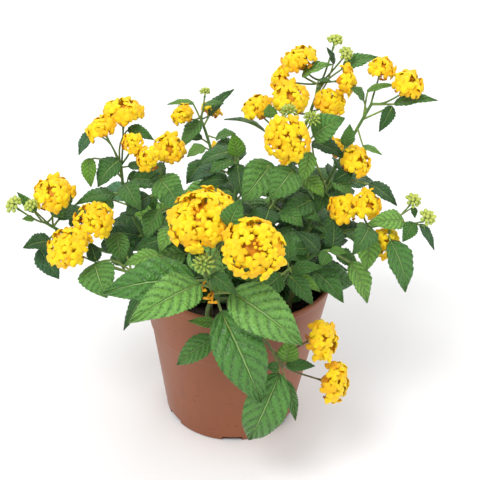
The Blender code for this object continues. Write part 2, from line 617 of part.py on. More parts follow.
def floret(centre, normal, turn, radius, sink):
    """A four-lobed floret: a star whose underside runs down into the head's core."""
    first = normal.orthogonal().normalized()
    second = normal.cross(first)
    vertices = [centre - normal * 0.06 * radius, centre - normal * sink]
    for k in range(8):
        angle = turn + math.pi * k / 4
        lobe = radius if k % 2 == 0 else 0.62 * radius
        droop = 0.04 * radius if k % 2 == 0 else 0.26 * radius
        across = math.cos(angle) * first + math.sin(angle) * second
        vertices.append(centre + lobe * across - normal * droop)
    faces = [(0, 2 + k, 2 + (k + 1) % 8) for k in range(8)]
    faces += [(3 + k, 2 + k, 3 + (k - 2) % 8) for k in range(0, 8, 2)]
    faces += [(1, 3 + (k + 2) % 8, 3 + k) for k in range(0, 8, 2)]
    return vertices, faces


def head_axes(head):
    """The head's centre, facing, half width and the end of its stalk."""
    centre = seen(*head.at, head.depth)
    facing = aim(head.turn, head.tilt)
    radius = head.width / 2 * MM
    return centre, facing, radius, centre - facing * radius * 0.62


def build_head(head, finish):
    """A head: a domed core with rings of florets or buds that stand out of it."""
    centre, facing, radius, _ = head_axes(head)
    budding = head.florets == BUDS
    sides = 5
    profile = HEAD_CORE
    vertices, faces = [centre - facing * 0.60 * radius, centre + facing * 0.42 * radius], []
    first = facing.orthogonal().normalized()
    second = facing.cross(first)
    for out, up in profile:
        for k in range(sides):
            angle = 2 * math.pi * k / sides
            vertices.append(
                centre + radius * (out * (math.cos(angle) * first + math.sin(angle) * second) + up * facing)
            )
    for k in range(sides):
        after = (k + 1) % sides
        faces.append((0, 2 + after, 2 + k))
        faces.append((1, 2 + sides + k, 2 + sides + after))
        faces.append((2 + k, 2 + after, 2 + sides + after, 2 + sides + k))
    made = mesh_object(head.name, vertices, faces, finish)
    parts = bpy.data.collections.new("florets")
    for ring, count in enumerate(head.florets):
        tilt = math.radians(RING_TILTS[head.florets][ring])
        for k in range(count):
            angle = 2 * math.pi * (k + 0.37 * ring) / count
            across = math.cos(angle) * first + math.sin(angle) * second
            place = centre + radius * (0.86 * math.sin(tilt) * across + 0.56 * math.cos(tilt) * facing)
            normal = (1.0 * math.sin(tilt) * across + 1.25 * math.cos(tilt) * facing).normalized()
            if budding:
                shape = bud(place, normal, 0.30 * radius, 0.70 * radius)
            else:
                size = FLORET_SIZES[head.florets]
                lift = normal * 0.05 * radius * math.sin(5 * k + 2 * ring)
                spin = angle + 0.35 * math.sin(3 * k + ring + 1)
                shape = floret(place + lift, normal, spin, size * radius, 0.70 * radius)
            move_to(mesh_object("floret", *shape), parts)
    boolean_collection(made, parts, "UNION")
    return made


def bud(centre, normal, radius, sink):
    """A closed bud: a blunt four-sided peg rooted in the head's core."""
    first = normal.orthogonal().normalized()
    second = normal.cross(first)
    vertices = [centre + normal * 0.7 * radius, centre - normal * sink]
    for k in range(4):
        angle = math.pi * k / 2
        vertices.append(centre + radius * (math.cos(angle) * first + math.sin(angle) * second))
    faces = [(0, 2 + k, 2 + (k + 1) % 4) for k in range(4)]
    faces += [(1, 2 + (k + 1) % 4, 2 + k) for k in range(4)]
    return vertices, faces


def shoot_path(shoot):
    """The stem's centre line from the foot of its hole to its tip."""
    x, y = shoot.root
    foot = Vector((x * MM, y * MM, SOIL_TOP - STEM_ROOT_DEPTH))
    rise = Vector((x * MM, y * MM, SOIL_TOP + SOIL_CROWN + 1 * MM))
    points = [seen(*point) for point in shoot.points]
    over = rise.lerp(points[0], 0.35)
    over.z = 0.0
    over *= min(1.0, STEM_REACH_AT_RIM / over.length)
    over.z = POT_HEIGHT + 5 * MM
    return [foot, *smooth_path([rise, over, *points], 2)]


def filler_leaves(shoot, path):
    """Leaf shapes in crossed pairs along the part of a stem that the photograph hides."""
    start = next(i for i, point in enumerate(path) if point.z > POT_HEIGHT + 4 * MM)
    shapes = []
    for pair in range(shoot.fillers):
        where = path[min(start + pair * 2, len(path) - 2)]
        for side in (0, 1):
            turn = 37 + 90 * pair + 180 * side + 41 * (len(shoot.name) % 5)
            size = shoot.size * MM * (1.0 - 0.08 * pair)
            base = where + aim(turn, 20) * 12 * MM
            tip = base + aim(turn, -12) * size
            shapes.append((base, tip, 0.6 * size, 0.0, 0.12))
    return shapes


def candidates(base, tip, width, roll, arch):
    """The blade as planned, and then the ways in which it may be bent clear of its neighbours."""
    shape = LeafShape(base, tip, width, roll, arch)
    for scale in (1.0, 0.88, 0.76):
        for lift, sway in BENDS:
            for shift in (0.0, 0.5):
                bend = (shape.up * lift + shape.side * sway) * MM
                reach = (tip - base) * scale
                yield LeafShape(base + shift * bend, base + reach + bend, width * scale, roll, arch)


class Neighbours:
    """The shapes that are already in place, for bending a leaf clear of them."""

    def __init__(self):
        self.shapes = []

    def add(self, owner, vertices, faces):
        """Puts a shape in place under its owner's name."""
        tree = BVHTree.FromPolygons([tuple(point) for point in vertices], faces)
        self.shapes.append((owner, tree, *bounds(vertices)))

    def meet(self, vertices, faces, but=()):
        """Whether a shape crosses one in place that no name in but owns."""
        tree = BVHTree.FromPolygons([tuple(point) for point in vertices], faces)
        low, high = bounds(vertices)
        for owner, other, other_low, other_high in self.shapes:
            apart = any(low[i] > other_high[i] or high[i] < other_low[i] for i in range(3))
            if owner not in but and not apart and tree.overlap(other):
                return True
        return False


def bounds(vertices):
    """The lowest and highest corner of some points."""
    low = [min(point[i] for point in vertices) for i in range(3)]
    high = [max(point[i] for point in vertices) for i in range(3)]
    return low, high


def object_shape(made):
    """An object's evaluated vertices and faces."""
    graph = bpy.context.evaluated_depsgraph_get()
    mesh = made.evaluated_get(graph).to_mesh()
    return [point.co.copy() for point in mesh.vertices], [tuple(face.vertices) for face in mesh.polygons]


def nearest_on(path, point, share=1.0):
    """A point of the stem near a point, share of the way up the span below the nearest corner."""
    i = min(range(2, len(path)), key=lambda k: (path[k] - point).length)
    return path[max(2, i - 1)].lerp(path[i], share)


def build_shoots(finish, neighbours):
    """Every leafy stem: the stem, its flower stalks, its petioles and its leaves, joined in one solid."""
    lines = {shoot.name: shoot_path(shoot) for shoot in SHOOTS}
    parts = {shoot.name: [] for shoot in SHOOTS}
    stems = {}
    for shoot in SHOOTS:
        path = lines[shoot.name]
        radii = [STEM_RADIUS + (STEM_TIP_RADIUS - STEM_RADIUS) * i / (len(path) - 1) for i in range(len(path))]
        stems[shoot.name] = tube(path, radii, STEM_SIDES)
        neighbours.add(shoot.name, *stems[shoot.name])
    for head in HEADS:
        stalk = tube(*stalk_line(head, lines[head.shoot]), THIN_SIDES)
        parts[head.shoot].append(stalk)
        neighbours.add(head.shoot, *stalk)
    for owner, shape in planned_leaves(lines):
        for bent in candidates(*shape):
            petiole = petiole_line(bent, lines[owner])
            leaf = leaf_solid(bent, petiole)
            count = 4 * len(petiole)
            stalk = petiole_rings(bent, petiole)
            outline = leaf[0], [face for face in leaf[1] if max(face) >= count]
            if neighbours.meet(*outline) or neighbours.meet(*stalk, but=(owner,)):
                continue
            neighbours.add(owner + "_leaf", *outline)
            neighbours.add(owner, *stalk)
            parts[owner].append(leaf)
            break
        else:
            print("left out a leaf of", owner, [round(c / MM) for c in shape[0]])
    for shoot in SHOOTS:
        made = mesh_object("leafy_stem_" + shoot.name, *stems[shoot.name], finish)
        pieces = bpy.data.collections.new("leaves")
        for part in parts[shoot.name]:
            move_to(mesh_object("leaf", *part), pieces)
        boolean_collection(made, pieces, "UNION", "MANIFOLD")


def stalk_line(head, path):
    """The centre line and radii of a head's stalk, from the stem to just under the head."""
    _, facing, radius, end = head_axes(head)
    end = end - facing * CLEARANCE
    start = nearest_on(path, end, 0.94 + 0.05 * math.sin(1100 * radius))
    bow = facing * (end - start).length * 0.17
    line = [start, (start + end) / 2 - bow, end]
    return line, [STALK_RADIUS] * len(line)


def petiole_line(shape, path):
    """The centre line of a leaf's petiole, from the middle of the stem to the blade's base."""
    start = nearest_on(path, shape.base, 0.55 + 0.4 * math.sin(900 * shape.length))
    reach = (shape.base - start).length
    middle = (start + shape.base) / 2 - shape.along * 0.12 * reach + Vector((0, 0, 0.08 * reach))
    return [start, shape.base] if reach < LONG_PETIOLE else [start, middle, shape.base]


def planned_leaves(lines):
    """Each leaf's stem with its base, tip, width, roll and arch."""
    for leaf in LEAVES:
        base = seen(*leaf.base, leaf.base_depth)
        tip = seen(*leaf.tip, leaf.tip_depth)
        yield leaf.shoot, (base, tip, leaf.width * LEAF_FULLNESS * MM, leaf.roll, leaf.arch)
    for shoot in SHOOTS:
        for shape in filler_leaves(shoot, lines[shoot.name]):
            yield shoot.name, shape


def main():
    """Clears the scene and builds the pot, the soil, the heads and the leafy stems."""
    for old in list(bpy.data.objects):
        bpy.data.objects.remove(old)
    terracotta = material("terracotta_plastic", (0.42, 0.15, 0.09), 0.45)
    earth = material("potting_soil", (0.02, 0.014, 0.01), 0.95)
    green = material("leaf_green", (0.08, 0.22, 0.04), 0.5)
    yellow = material("petal_yellow", (0.95, 0.5, 0.01), 0.55)
    pale = material("bud_green", (0.45, 0.6, 0.12), 0.55)
    neighbours = Neighbours()
    for made in (build_pot(terracotta), build_soil(earth, SHOOTS)):
        neighbours.add(made.name, *object_shape(made))
    for head in HEADS:
        made = build_head(head, pale if head.florets == BUDS else yellow)
        neighbours.add(made.name, *object_shape(made))
    build_shoots(green, neighbours)


main()
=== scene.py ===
"""Dresses the potted lantana: fine leaves, florets, buds and stems in place of the plain solids.

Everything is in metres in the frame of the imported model. The shoots, heads and leaves are planned by
the same lines of sight as the model's, and each leaf is grown on the blade that the model holds.
"""

import logging
import math
from collections.abc import Callable, Iterator
from dataclasses import dataclass
from enum import Enum

import bpy
import numpy as np
from mathutils import Matrix, Vector, kdtree, noise


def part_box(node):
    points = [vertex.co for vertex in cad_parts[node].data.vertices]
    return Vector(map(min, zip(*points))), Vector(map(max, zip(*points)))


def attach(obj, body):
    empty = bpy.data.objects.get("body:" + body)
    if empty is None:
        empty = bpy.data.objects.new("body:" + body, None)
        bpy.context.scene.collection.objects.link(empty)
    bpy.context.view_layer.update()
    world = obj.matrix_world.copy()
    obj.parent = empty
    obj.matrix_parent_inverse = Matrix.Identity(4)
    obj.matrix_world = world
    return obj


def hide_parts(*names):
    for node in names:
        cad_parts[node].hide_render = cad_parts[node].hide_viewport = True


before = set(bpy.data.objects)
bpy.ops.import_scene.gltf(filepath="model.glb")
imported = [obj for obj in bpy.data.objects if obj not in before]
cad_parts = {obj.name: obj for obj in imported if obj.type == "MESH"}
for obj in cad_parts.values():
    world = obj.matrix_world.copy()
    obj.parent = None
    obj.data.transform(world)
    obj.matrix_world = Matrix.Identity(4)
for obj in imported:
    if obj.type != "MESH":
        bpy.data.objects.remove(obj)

log = logging.getLogger("lantana")
Colour = tuple[float, float, float]
Pair = tuple[float, float]

MM = 0.001
GOLDEN_ANGLE = math.pi * (3 - math.sqrt(5))
SMOOTH_ANGLE = math.radians(40)

# The line of sight of the photograph
EYE_PITCH = math.radians(30.5)
EYE_ROLL = math.radians(3.18)
EYE_DISTANCE = 0.691
EYE_AIM = Vector((0.001, 0.0, 0.145))
EYE_FOCAL = 966.0
PHOTO_SIDE = 480.0
SENSOR_WIDTH = 36.0

# The soil and the stems' roots, as in the model
POT_HEIGHT = 123.0 * MM
SOIL_TOP = 95.0 * MM
SOIL_CROWN = 3.0 * MM
STEM_ROOT_DEPTH = 14.0 * MM
STEM_COLLAR = 1.0 * MM
STEM_REACH_AT_RIM = 60.0 * MM
STEM_OVER_RIM = 5.0 * MM
STEM_OVER_SHARE = 0.35
MODEL_STEPS = 2

# The blades that the model holds
LEAF_NOTCH = 0.86
LEAF_FULLNESS = 1.15
LEAF_TOOTH_SPACING = 14.5 * MM
LEAF_MOST_TEETH = 3
LEAF_FOLD = math.radians(13)
LEAF_LIGHT = Vector((0.0, -0.52, 0.85))
LEAF_SPREAD = 0.3
LONG_PETIOLE = 26.0 * MM

# How a blade may have been bent clear of its neighbours: its lift and sway in millimetres, its size as
# a share of the plan's, and how much of the bend its base takes part in
BENDS = (
    (0, 0), (5, 0), (-5, 0), (0, 5), (0, -5), (9, 4), (9, -4), (-9, 4), (-9, -4),
    (15, 0), (-15, 0), (4, 14), (4, -14),
)
BEND_SIZES = (1.0, 0.88, 0.76)
BEND_SHIFTS = (0.0, 0.5)
MATCH = 0.06 * MM

# The leaves in crossed pairs where the photograph hides a stem, with turns and tilts in degrees
FILLER_CLEARANCE = 4.0 * MM
FILLER_FIRST_TURN = 37
FILLER_STEM_TURN = 41
FILLER_STEM_CYCLE = 5
FILLER_TILT = 20
FILLER_DROOP = -12
FILLER_PETIOLE = 12
FILLER_SHRINK = 0.08
FILLER_WIDTH_SHARE = 0.6
FILLER_ARCH = 0.12

# The fine blade: its teeth, its quilting, its waved edge and the round bottom of its fold
TOOTH_SLANT = 1.4
TOOTH_SHARE = 0.12
TOOTH_DEPTH = 0.9 * MM
TOOTHLESS_FROM = 0.97
LEAST_HALF_WIDTH = 0.35 * MM
QUILT_RISE = 1.7 * MM
QUILT_SHARE = 0.028
WAVE_SHARE = 0.075
WAVE_COUNT = 15
FOLD_ROUNDING = 1.5 * MM
FOLD_DROP = 0.4 * MM

# The side veins on each half of a blade, how far they sweep to the tip, and how they bow
VEIN_PAIRS = 7.0
VEIN_SWEEP = 0.25
VEIN_BOW = 1.25


class HeadKind(Enum):
    """What a head holds: open florets, on domes of four sizes, or closed buds."""

    WIDE = "wide"
    LARGE = "large"
    MEDIUM = "medium"
    SMALL = "small"
    BUDS = "buds"


@dataclass(frozen=True)
class Shoot:
    """A leafy stem from its hole in the soil to its tip, through points seen in the photograph."""

    name: str
    root: Pair
    points: tuple[tuple[float, float, float], ...]
    fillers: int = 0
    size: float = 40.0


@dataclass(frozen=True)
class Head:
    """A flower head or bud head, with the way that it faces as turn and tilt in degrees."""

    name: str
    shoot: str
    at: Pair
    depth: float
    width: float
    turn: float
    tilt: float
    kind: HeadKind


@dataclass(frozen=True)
class Leaf:
    """A leaf blade from base to tip, each seen at a depth, and its width in millimetres."""

    shoot: str
    base: Pair
    base_depth: float
    tip: Pair
    tip_depth: float
    width: float
    roll: float = 0.0
    arch: float = 0.10


WIDE, LARGE, MEDIUM, SMALL, BUDS = HeadKind

# Each root is (x, y) in millimetres on the soil, each point is (across, down, depth)
SHOOTS = (
    Shoot("front", (-2, -44), ((218, 300, -62), (205, 277, -84))),
    Shoot("front_low", (-16, -48), ((207, 316, -77), (217, 334, -82))),
    Shoot("trailing", (14, -48), ((252, 318, -80), (283, 367, -89))),
    Shoot("left", (-42, -6), ((100, 250, -10), (60, 231, -12), (46, 223, -18))),
    Shoot("left_front", (-38, -24), ((150, 276, -30), (124, 271, -35))),
    Shoot("top_left", (-28, 10), ((152, 245, 5), (127, 203, 3), (121, 165, 12))),
    Shoot("inner_left", (-18, -6), ((186, 246, -8), (172, 205, 0), (160, 172, 0)), 2, 44.0),
    Shoot("back_left", (-16, 32), ((213, 190, 55), (211, 150, 68), (200, 116, 76)), 2),
    Shoot("centre", (0, 8), ((232, 225, 8), (236, 190, 12), (238, 160, 10)), 2, 44.0),
    Shoot("top_centre", (12, -4), ((262, 230, -2), (282, 190, 0), (298, 140, -4)), 2, 44.0),
    Shoot("top_right", (14, 24), ((276, 200, 30), (300, 140, 36), (322, 80, 45)), 2),
    Shoot("right_top", (32, 14), ((310, 215, 20), (345, 150, 28), (372, 103, 30))),
    Shoot("right", (42, -4), ((318, 238, -8), (350, 231, -16), (395, 222, -21))),
    Shoot("right_middle", (30, -10), ((306, 230, -4), (325, 190, 3), (350, 176, 6)), 1, 42.0),
    Shoot("right_low", (38, -26), ((303, 262, -34), (322, 252, -36), (333, 250, -30)), 1),
    Shoot("inner_right", (18, -34), ((280, 285, -46), (290, 268, -54)), 1, 36.0),
    Shoot("back_right", (34, 34), ((318, 205, 70), (334, 178, 88)), 3, 46.0),
    Shoot("back", (4, 46), ((238, 205, 88), (232, 176, 108)), 3, 46.0),
    Shoot("back_far_left", (-36, 36), ((158, 215, 84), (140, 192, 98)), 3, 46.0),
)

HEADS = (
    Head("bloom_top_left_high", "top_left", (123, 113), 15, 31, 100, 82, LARGE),
    Head("bloom_top_left_low", "top_left", (101, 128), 2, 22, 190, 60, MEDIUM),
    Head("bloom_top_left_small", "top_left", (133, 143), -6, 15, 270, 30, SMALL),
    Head("bloom_inner_left_high", "inner_left", (169, 149), 10, 24, 300, 60, MEDIUM),
    Head("bloom_inner_left_low", "inner_left", (147, 158), -8, 18, 250, 15, SMALL),
    Head("bloom_left_high", "left", (54, 194), -12, 31, 250, 72, LARGE),
    Head("bloom_left_front", "left_front", (68, 248), -48, 31, 235, 48, LARGE),
    Head("bloom_left_inner", "left_front", (94, 222), -30, 30, 250, 55, LARGE),
    Head("bloom_front_left", "front", (202, 220), -72, 48, 235, 55, WIDE),
    Head("bloom_front_right", "front", (253, 249), -96, 42, 285, 42, WIDE),
    Head("bloom_trailing_high", "trailing", (321, 340), -72, 30, 330, 25, LARGE),
    Head("bloom_trailing_low", "trailing", (334, 382), -78, 30, 335, 12, LARGE),
    Head("bloom_top_centre", "top_centre", (287, 139), -14, 34, 270, 22, LARGE),
    Head("bloom_top_right_mid", "top_right", (291, 99), 26, 29, 250, 68, LARGE),
    Head("bloom_top_right_high", "top_right", (299, 60), 52, 26, 190, 62, MEDIUM),
    Head("bloom_top_right_under", "top_right", (281, 80), 52, 19, 200, 20, SMALL),
    Head("bloom_top_right_low", "top_right", (257, 108), 42, 22, 210, 60, MEDIUM),
    Head("bloom_top_right_back", "top_right", (330, 103), 32, 23, 290, 40, MEDIUM),
    Head("bloom_top_right_side", "top_right", (346, 80), 38, 22, 350, 15, MEDIUM),
    Head("bloom_right_top_high", "right_top", (382, 68), 38, 20, 300, 74, MEDIUM),
    Head("bloom_right_top_far", "right_top", (408, 85), 24, 24, 320, 66, MEDIUM),
    Head("bloom_back_left_near", "back_left", (182, 114), 66, 18, 220, 50, SMALL),
    Head("bloom_back_left_far", "back_left", (211, 110), 86, 16, 40, 60, SMALL),
    Head("bloom_right_middle_high", "right_middle", (356, 162), 6, 23, 320, 50, MEDIUM),
    Head("bloom_right_middle_low", "right_middle", (343, 209), -16, 22, 250, 40, MEDIUM),
    Head("bloom_right_inner", "right", (367, 205), -12, 22, 300, 56, MEDIUM),
    Head("bloom_right_low", "right", (385, 243), -24, 23, 290, 20, MEDIUM),
    Head("bloom_back", "back", (226, 150), 112, 27, 100, 60, MEDIUM),
    Head("bloom_back_right", "back_right", (338, 148), 96, 26, 60, 62, MEDIUM),
    Head("buds_left_far", "left", (14, 205), -26, 12, 200, 55, BUDS),
    Head("buds_left_near", "left", (31, 206), -27, 10, 180, 70, BUDS),
    Head("buds_front", "front", (204, 264), -90, 12, 250, 70, BUDS),
    Head("buds_top_high", "top_right", (335, 41), 52, 11, 40, 78, BUDS),
    Head("buds_top_low", "top_right", (346, 54), 44, 10, 290, 50, BUDS),
    Head("buds_top_centre_left", "top_centre", (289, 112), -4, 10, 250, 78, BUDS),
    Head("buds_top_centre_right", "top_centre", (312, 119), -4, 10, 300, 74, BUDS),
    Head("buds_back_left", "back_left", (205, 92), 82, 8, 90, 85, BUDS),
    Head("buds_right_high", "right", (413, 201), -14, 11, 320, 66, BUDS),
    Head("buds_right_low", "right", (427, 218), -24, 12, 330, 58, BUDS),
)

LEAVES = (
    Leaf("front", (196, 281), -88, (103, 294), -94, 27, 8, 0.14),
    Leaf("front", (199, 284), -90, (128, 326), -122, 24, 0, 0.10),
    Leaf("front", (212, 275), -88, (238, 295), -106, 10, 0, 0.12),
    Leaf("front", (200, 265), -84, (197, 241), -80, 10, 0, 0.05),
    Leaf("front", (221, 311), -86, (261, 402), -102, 30, 0, 0.16),
    Leaf("front", (231, 292), -84, (303, 345), -104, 29, 0, 0.14),
    Leaf("front", (226, 229), -84, (240, 201), -78, 14, 0, 0.05),
    Leaf("front_low", (216, 324), -82, (188, 321), -86, 7, 0, 0.12),
    Leaf("front_low", (214, 337), -82, (177, 365), -84, 15, 0, 0.12),
    Leaf("front_low", (219, 340), -84, (219, 359), -86, 7, 0, 0.05),
    Leaf("trailing", (280, 373), -92, (249, 439), -90, 26, 0, 0.16),
    Leaf("trailing", (282, 362), -86, (283, 338), -84, 14, 0, 0.05),
    Leaf("trailing", (286, 365), -86, (315, 366), -84, 8, 0, 0.12),
    Leaf("trailing", (279, 368), -94, (265, 366), -98, 7, 0, 0.05),
    Leaf("trailing", (286, 380), -80, (295, 420), -74, 8, 0, 0.08),
    Leaf("left", (36, 212), -18, (17, 192), -16, 7, 0, 0.10),
    Leaf("left", (34, 219), -24, (22, 219), -27, 5, 0, 0.05),
    Leaf("left", (52, 216), -8, (76, 192), 2, 16, 0, 0.05),
    Leaf("left", (52, 242), -24, (23, 248), -34, 14, 0, 0.12),
    Leaf("left", (40, 248), -22, (59, 279), -28, 15, 0, 0.10),
    Leaf("left_front", (95, 263), -44, (107, 298), -60, 24, 0, 0.14),
    Leaf("left_front", (97, 261), -40, (90, 242), -32, 10, 0, 0.05),
    Leaf("left_front", (117, 233), -22, (123, 262), -30, 16, 0, 0.10),
    Leaf("left_front", (159, 255), -44, (124, 265), -50, 11, 0, 0.12),
    Leaf("left_front", (140, 292), -40, (130, 316), -46, 8, 0, 0.05),
    Leaf("left_front", (146, 290), -46, (124, 330), -54, 10, 0, 0.05),
    Leaf("top_left", (92, 131), 2, (75, 152), -6, 10, 0, 0.12),
    Leaf("top_left", (89, 158), 6, (91, 187), -4, 11, 0, 0.05),
    Leaf("top_left", (120, 160), 6, (98, 187), -2, 18, 0, 0.12),
    Leaf("top_left", (128, 128), 12, (154, 140), 6, 9, 0, 0.10),
    Leaf("top_left", (115, 195), 0, (76, 200), -12, 12, 0, 0.14),
    Leaf("top_left", (111, 199), 4, (98, 218), -4, 14, 0, 0.05),
    Leaf("top_left", (128, 176), 12, (144, 182), 14, 10, 0, 0.05),
    Leaf("top_left", (128, 166), 14, (150, 168), 20, 8, 0, 0.05),
    Leaf("inner_left", (159, 178), -2, (182, 206), -16, 20, 0, 0.14),
    Leaf("inner_left", (150, 196), -6, (126, 216), -14, 16, 0, 0.12),
    Leaf("inner_left", (160, 210), -8, (146, 240), -16, 15, 0, 0.12),
    Leaf("inner_left", (176, 226), -12, (160, 252), -34, 15, 0, 0.10),
    Leaf("inner_left", (152, 194), 2, (154, 211), -2, 8, 0, 0.05),
    Leaf("back_left", (194, 106), 76, (168, 110), 72, 7, 0, 0.08),
    Leaf("back_left", (201, 121), 72, (176, 137), 62, 14, 0, 0.08),
    Leaf("back_left", (211, 117), 80, (238, 93), 84, 12, 0, 0.08),
    Leaf("back_left", (204, 105), 72, (224, 104), 66, 7, 0, 0.08),
    Leaf("back_left", (205, 147), 58, (187, 157), 52, 12, 0, 0.08),
    Leaf("back_left", (216, 138), 66, (236, 134), 62, 12, 0, 0.08),
    Leaf("centre", (232, 152), 16, (196, 167), 10, 14, 0, 0.12),
    Leaf("centre", (233, 161), 8, (209, 174), -2, 12, 0, 0.10),
    Leaf("centre", (218, 168), 22, (189, 183), 12, 12, 0, 0.10),
    Leaf("centre", (238, 157), 12, (233, 133), 18, 12, 0, 0.08),
    Leaf("centre", (238, 164), 6, (238, 191), -6, 13, 0, 0.10),
    Leaf("centre", (248, 178), 8, (262, 160), 14, 12, 0, 0.10),
    Leaf("top_centre", (272, 163), -2, (242, 202), -20, 23, 0, 0.14),
    Leaf("top_centre", (264, 130), 4, (224, 120), 2, 12, 40, 0.10),
    Leaf("top_centre", (313, 136), 0, (345, 118), -2, 19, 0, 0.10),
    Leaf("top_centre", (309, 151), -6, (301, 183), -16, 12, 0, 0.10),
    Leaf("top_centre", (297, 171), -12, (276, 204), -26, 20, 0, 0.14),
    Leaf("top_centre", (269, 209), -20, (263, 227), -32, 16, 0, 0.10),
    Leaf("top_centre", (280, 210), -16, (303, 227), -26, 14, 0, 0.12),
    Leaf("top_centre", (270, 118), 14, (269, 104), 18, 10, 0, 0.05),
    Leaf("top_right", (302, 76), 48, (328, 60), 42, 13, 0, 0.10),
    Leaf("top_right", (341, 66), 44, (375, 53), 42, 12, 0, 0.10),
    Leaf("top_right", (334, 64), 48, (322, 51), 50, 7, 0, 0.05),
    Leaf("top_right", (318, 80), 44, (332, 82), 38, 6, 0, 0.05),
    Leaf("right_top", (367, 91), 32, (396, 85), 28, 6, 0, 0.08),
    Leaf("right_top", (394, 104), 28, (436, 96), 22, 10, 0, 0.12),
    Leaf("right_top", (392, 106), 24, (379, 132), 14, 9, 0, 0.10),
    Leaf("right_top", (364, 99), 30, (350, 87), 28, 10, 0, 0.08),
    Leaf("right_top", (363, 146), 16, (382, 155), 8, 6, 0, 0.05),
    Leaf("right_top", (345, 146), 18, (350, 124), 22, 10, 0, 0.08),
    Leaf("right_middle", (312, 142), 16, (345, 159), 6, 14, 0, 0.10),
    Leaf("right_middle", (303, 178), 0, (324, 197), -12, 14, 0, 0.10),
    Leaf("right_middle", (352, 165), 2, (333, 171), -4, 10, 0, 0.08),
    Leaf("right_middle", (332, 177), 4, (360, 199), -8, 18, 0, 0.12),
    Leaf("right_middle", (367, 186), -2, (393, 210), -12, 12, 0, 0.10),
    Leaf("right", (404, 221), -22, (367, 224), -30, 14, 0, 0.12),
    Leaf("right", (411, 220), -22, (397, 237), -32, 10, 0, 0.05),
    Leaf("right", (413, 207), -18, (415, 218), -22, 5, 0, 0.05),
    Leaf("right", (420, 224), -22, (434, 250), -28, 7, 0, 0.08),
    Leaf("right", (366, 234), -28, (366, 271), -40, 17, 0, 0.12),
    Leaf("right", (390, 241), -30, (405, 292), -40, 19, 0, 0.12),
    Leaf("right_low", (350, 262), -22, (367, 303), -30, 16, 0, 0.12),
    Leaf("right_low", (336, 254), -18, (358, 264), -16, 12, 0, 0.08),
    Leaf("right_low", (332, 249), -28, (333, 219), -22, 14, 0, 0.10),
    Leaf("right_low", (327, 252), -36, (321, 266), -42, 10, 0, 0.05),
    Leaf("right_low", (330, 250), -34, (348, 253), -38, 6, 0, 0.08),
    Leaf("right_low", (333, 236), -10, (301, 221), -16, 15, 0, 0.12),
    Leaf("right_low", (319, 252), -38, (295, 231), -36, 11, 0, 0.12),
    Leaf("inner_right", (288, 262), -54, (288, 231), -50, 10, 0, 0.10),
    Leaf("inner_right", (292, 270), -56, (323, 267), -62, 9, 0, 0.12),
    Leaf("inner_right", (292, 273), -58, (322, 290), -64, 8, 0, 0.10),
    Leaf("inner_right", (289, 275), -60, (313, 305), -70, 12, 0, 0.10),
    Leaf("inner_right", (281, 275), -60, (256, 298), -72, 15, 0, 0.12),
)


def eye_frame() -> tuple[Vector, Vector, Vector, Vector]:
    """Works out the photograph's eye.

    Returns:
        Its place, the way that it looks, its right and its up.
    """
    forward = Vector((0.0, math.cos(EYE_PITCH), -math.sin(EYE_PITCH)))
    level = Vector((1.0, 0.0, 0.0))
    rise = level.cross(forward)
    right = math.cos(EYE_ROLL) * level + math.sin(EYE_ROLL) * rise
    up = math.cos(EYE_ROLL) * rise - math.sin(EYE_ROLL) * level
    return EYE_AIM - EYE_DISTANCE * forward, forward, right, up


def seen(across: float, down: float, depth: float) -> Vector:
    """Finds a point on a line of sight.

    Args:
        across: Pixels from the photograph's left side.
        down: Pixels from its top.
        depth: Millimetres behind the pot's axis.

    Returns:
        The point that shows there, in metres.
    """
    eye, forward, right, up = eye_frame()
    centre = PHOTO_SIDE / 2
    ray = forward + ((across - centre) * right + (centre - down) * up) / EYE_FOCAL
    return eye + ray * ((depth * MM - eye.y) / ray.y)


def aim(turn: float, tilt: float) -> Vector:
    """Turns +X about Z and tilts it up.

    Args:
        turn: Degrees about Z.
        tilt: Degrees above the level.

    Returns:
        The unit vector.
    """
    turn, tilt = math.radians(turn), math.radians(tilt)
    return Vector((math.cos(tilt) * math.cos(turn), math.cos(tilt) * math.sin(turn), math.sin(tilt)))


def smooth_path(points: list[Vector], steps: int) -> list[Vector]:
    """Draws a smooth curve through points (Catmull-Rom).

    Args:
        points: The points that it passes through.
        steps: How many spans it makes of each.

    Returns:
        The points along the curve.
    """
    padded = [2 * points[0] - points[1], *points, 2 * points[-1] - points[-2]]
    path = []
    for a, b, c, d in zip(padded, padded[1:], padded[2:], padded[3:]):
        for step in range(steps):
            t = step / steps
            square = 2 * a - 5 * b + 4 * c - d
            cube = 3 * b - a - 3 * c + d
            path.append(0.5 * (2 * b + (c - a) * t + square * t**2 + cube * t**3))
    return [*path, points[-1]]


def nearest_on(path: list[Vector], point: Vector, share: float) -> Vector:
    """Finds where a stalk leaves a stem.

    Args:
        path: The stem's centre line, as coarse as the model's.
        point: The stalk's far end.
        share: How far up the span below the nearest corner it leaves.

    Returns:
        The point on the stem.
    """
    i = min(range(2, len(path)), key=lambda k: (path[k] - point).length)
    return path[max(2, i - 1)].lerp(path[i], share)


def shoot_path(shoot: Shoot, steps: int) -> list[Vector]:
    """Draws a stem's centre line from the foot of its hole to its tip.

    Args:
        shoot: The leafy stem.
        steps: How many spans each stretch has.

    Returns:
        The points of the line.
    """
    x, y = shoot.root
    foot = Vector((x * MM, y * MM, SOIL_TOP - STEM_ROOT_DEPTH))
    rise = Vector((x * MM, y * MM, SOIL_TOP + SOIL_CROWN + STEM_COLLAR))
    points = [seen(*point) for point in shoot.points]
    over = rise.lerp(points[0], STEM_OVER_SHARE)
    over.z = 0.0
    over *= min(1.0, STEM_REACH_AT_RIM / over.length)
    over.z = POT_HEIGHT + STEM_OVER_RIM
    return [foot, *smooth_path([rise, over, *points], steps)]


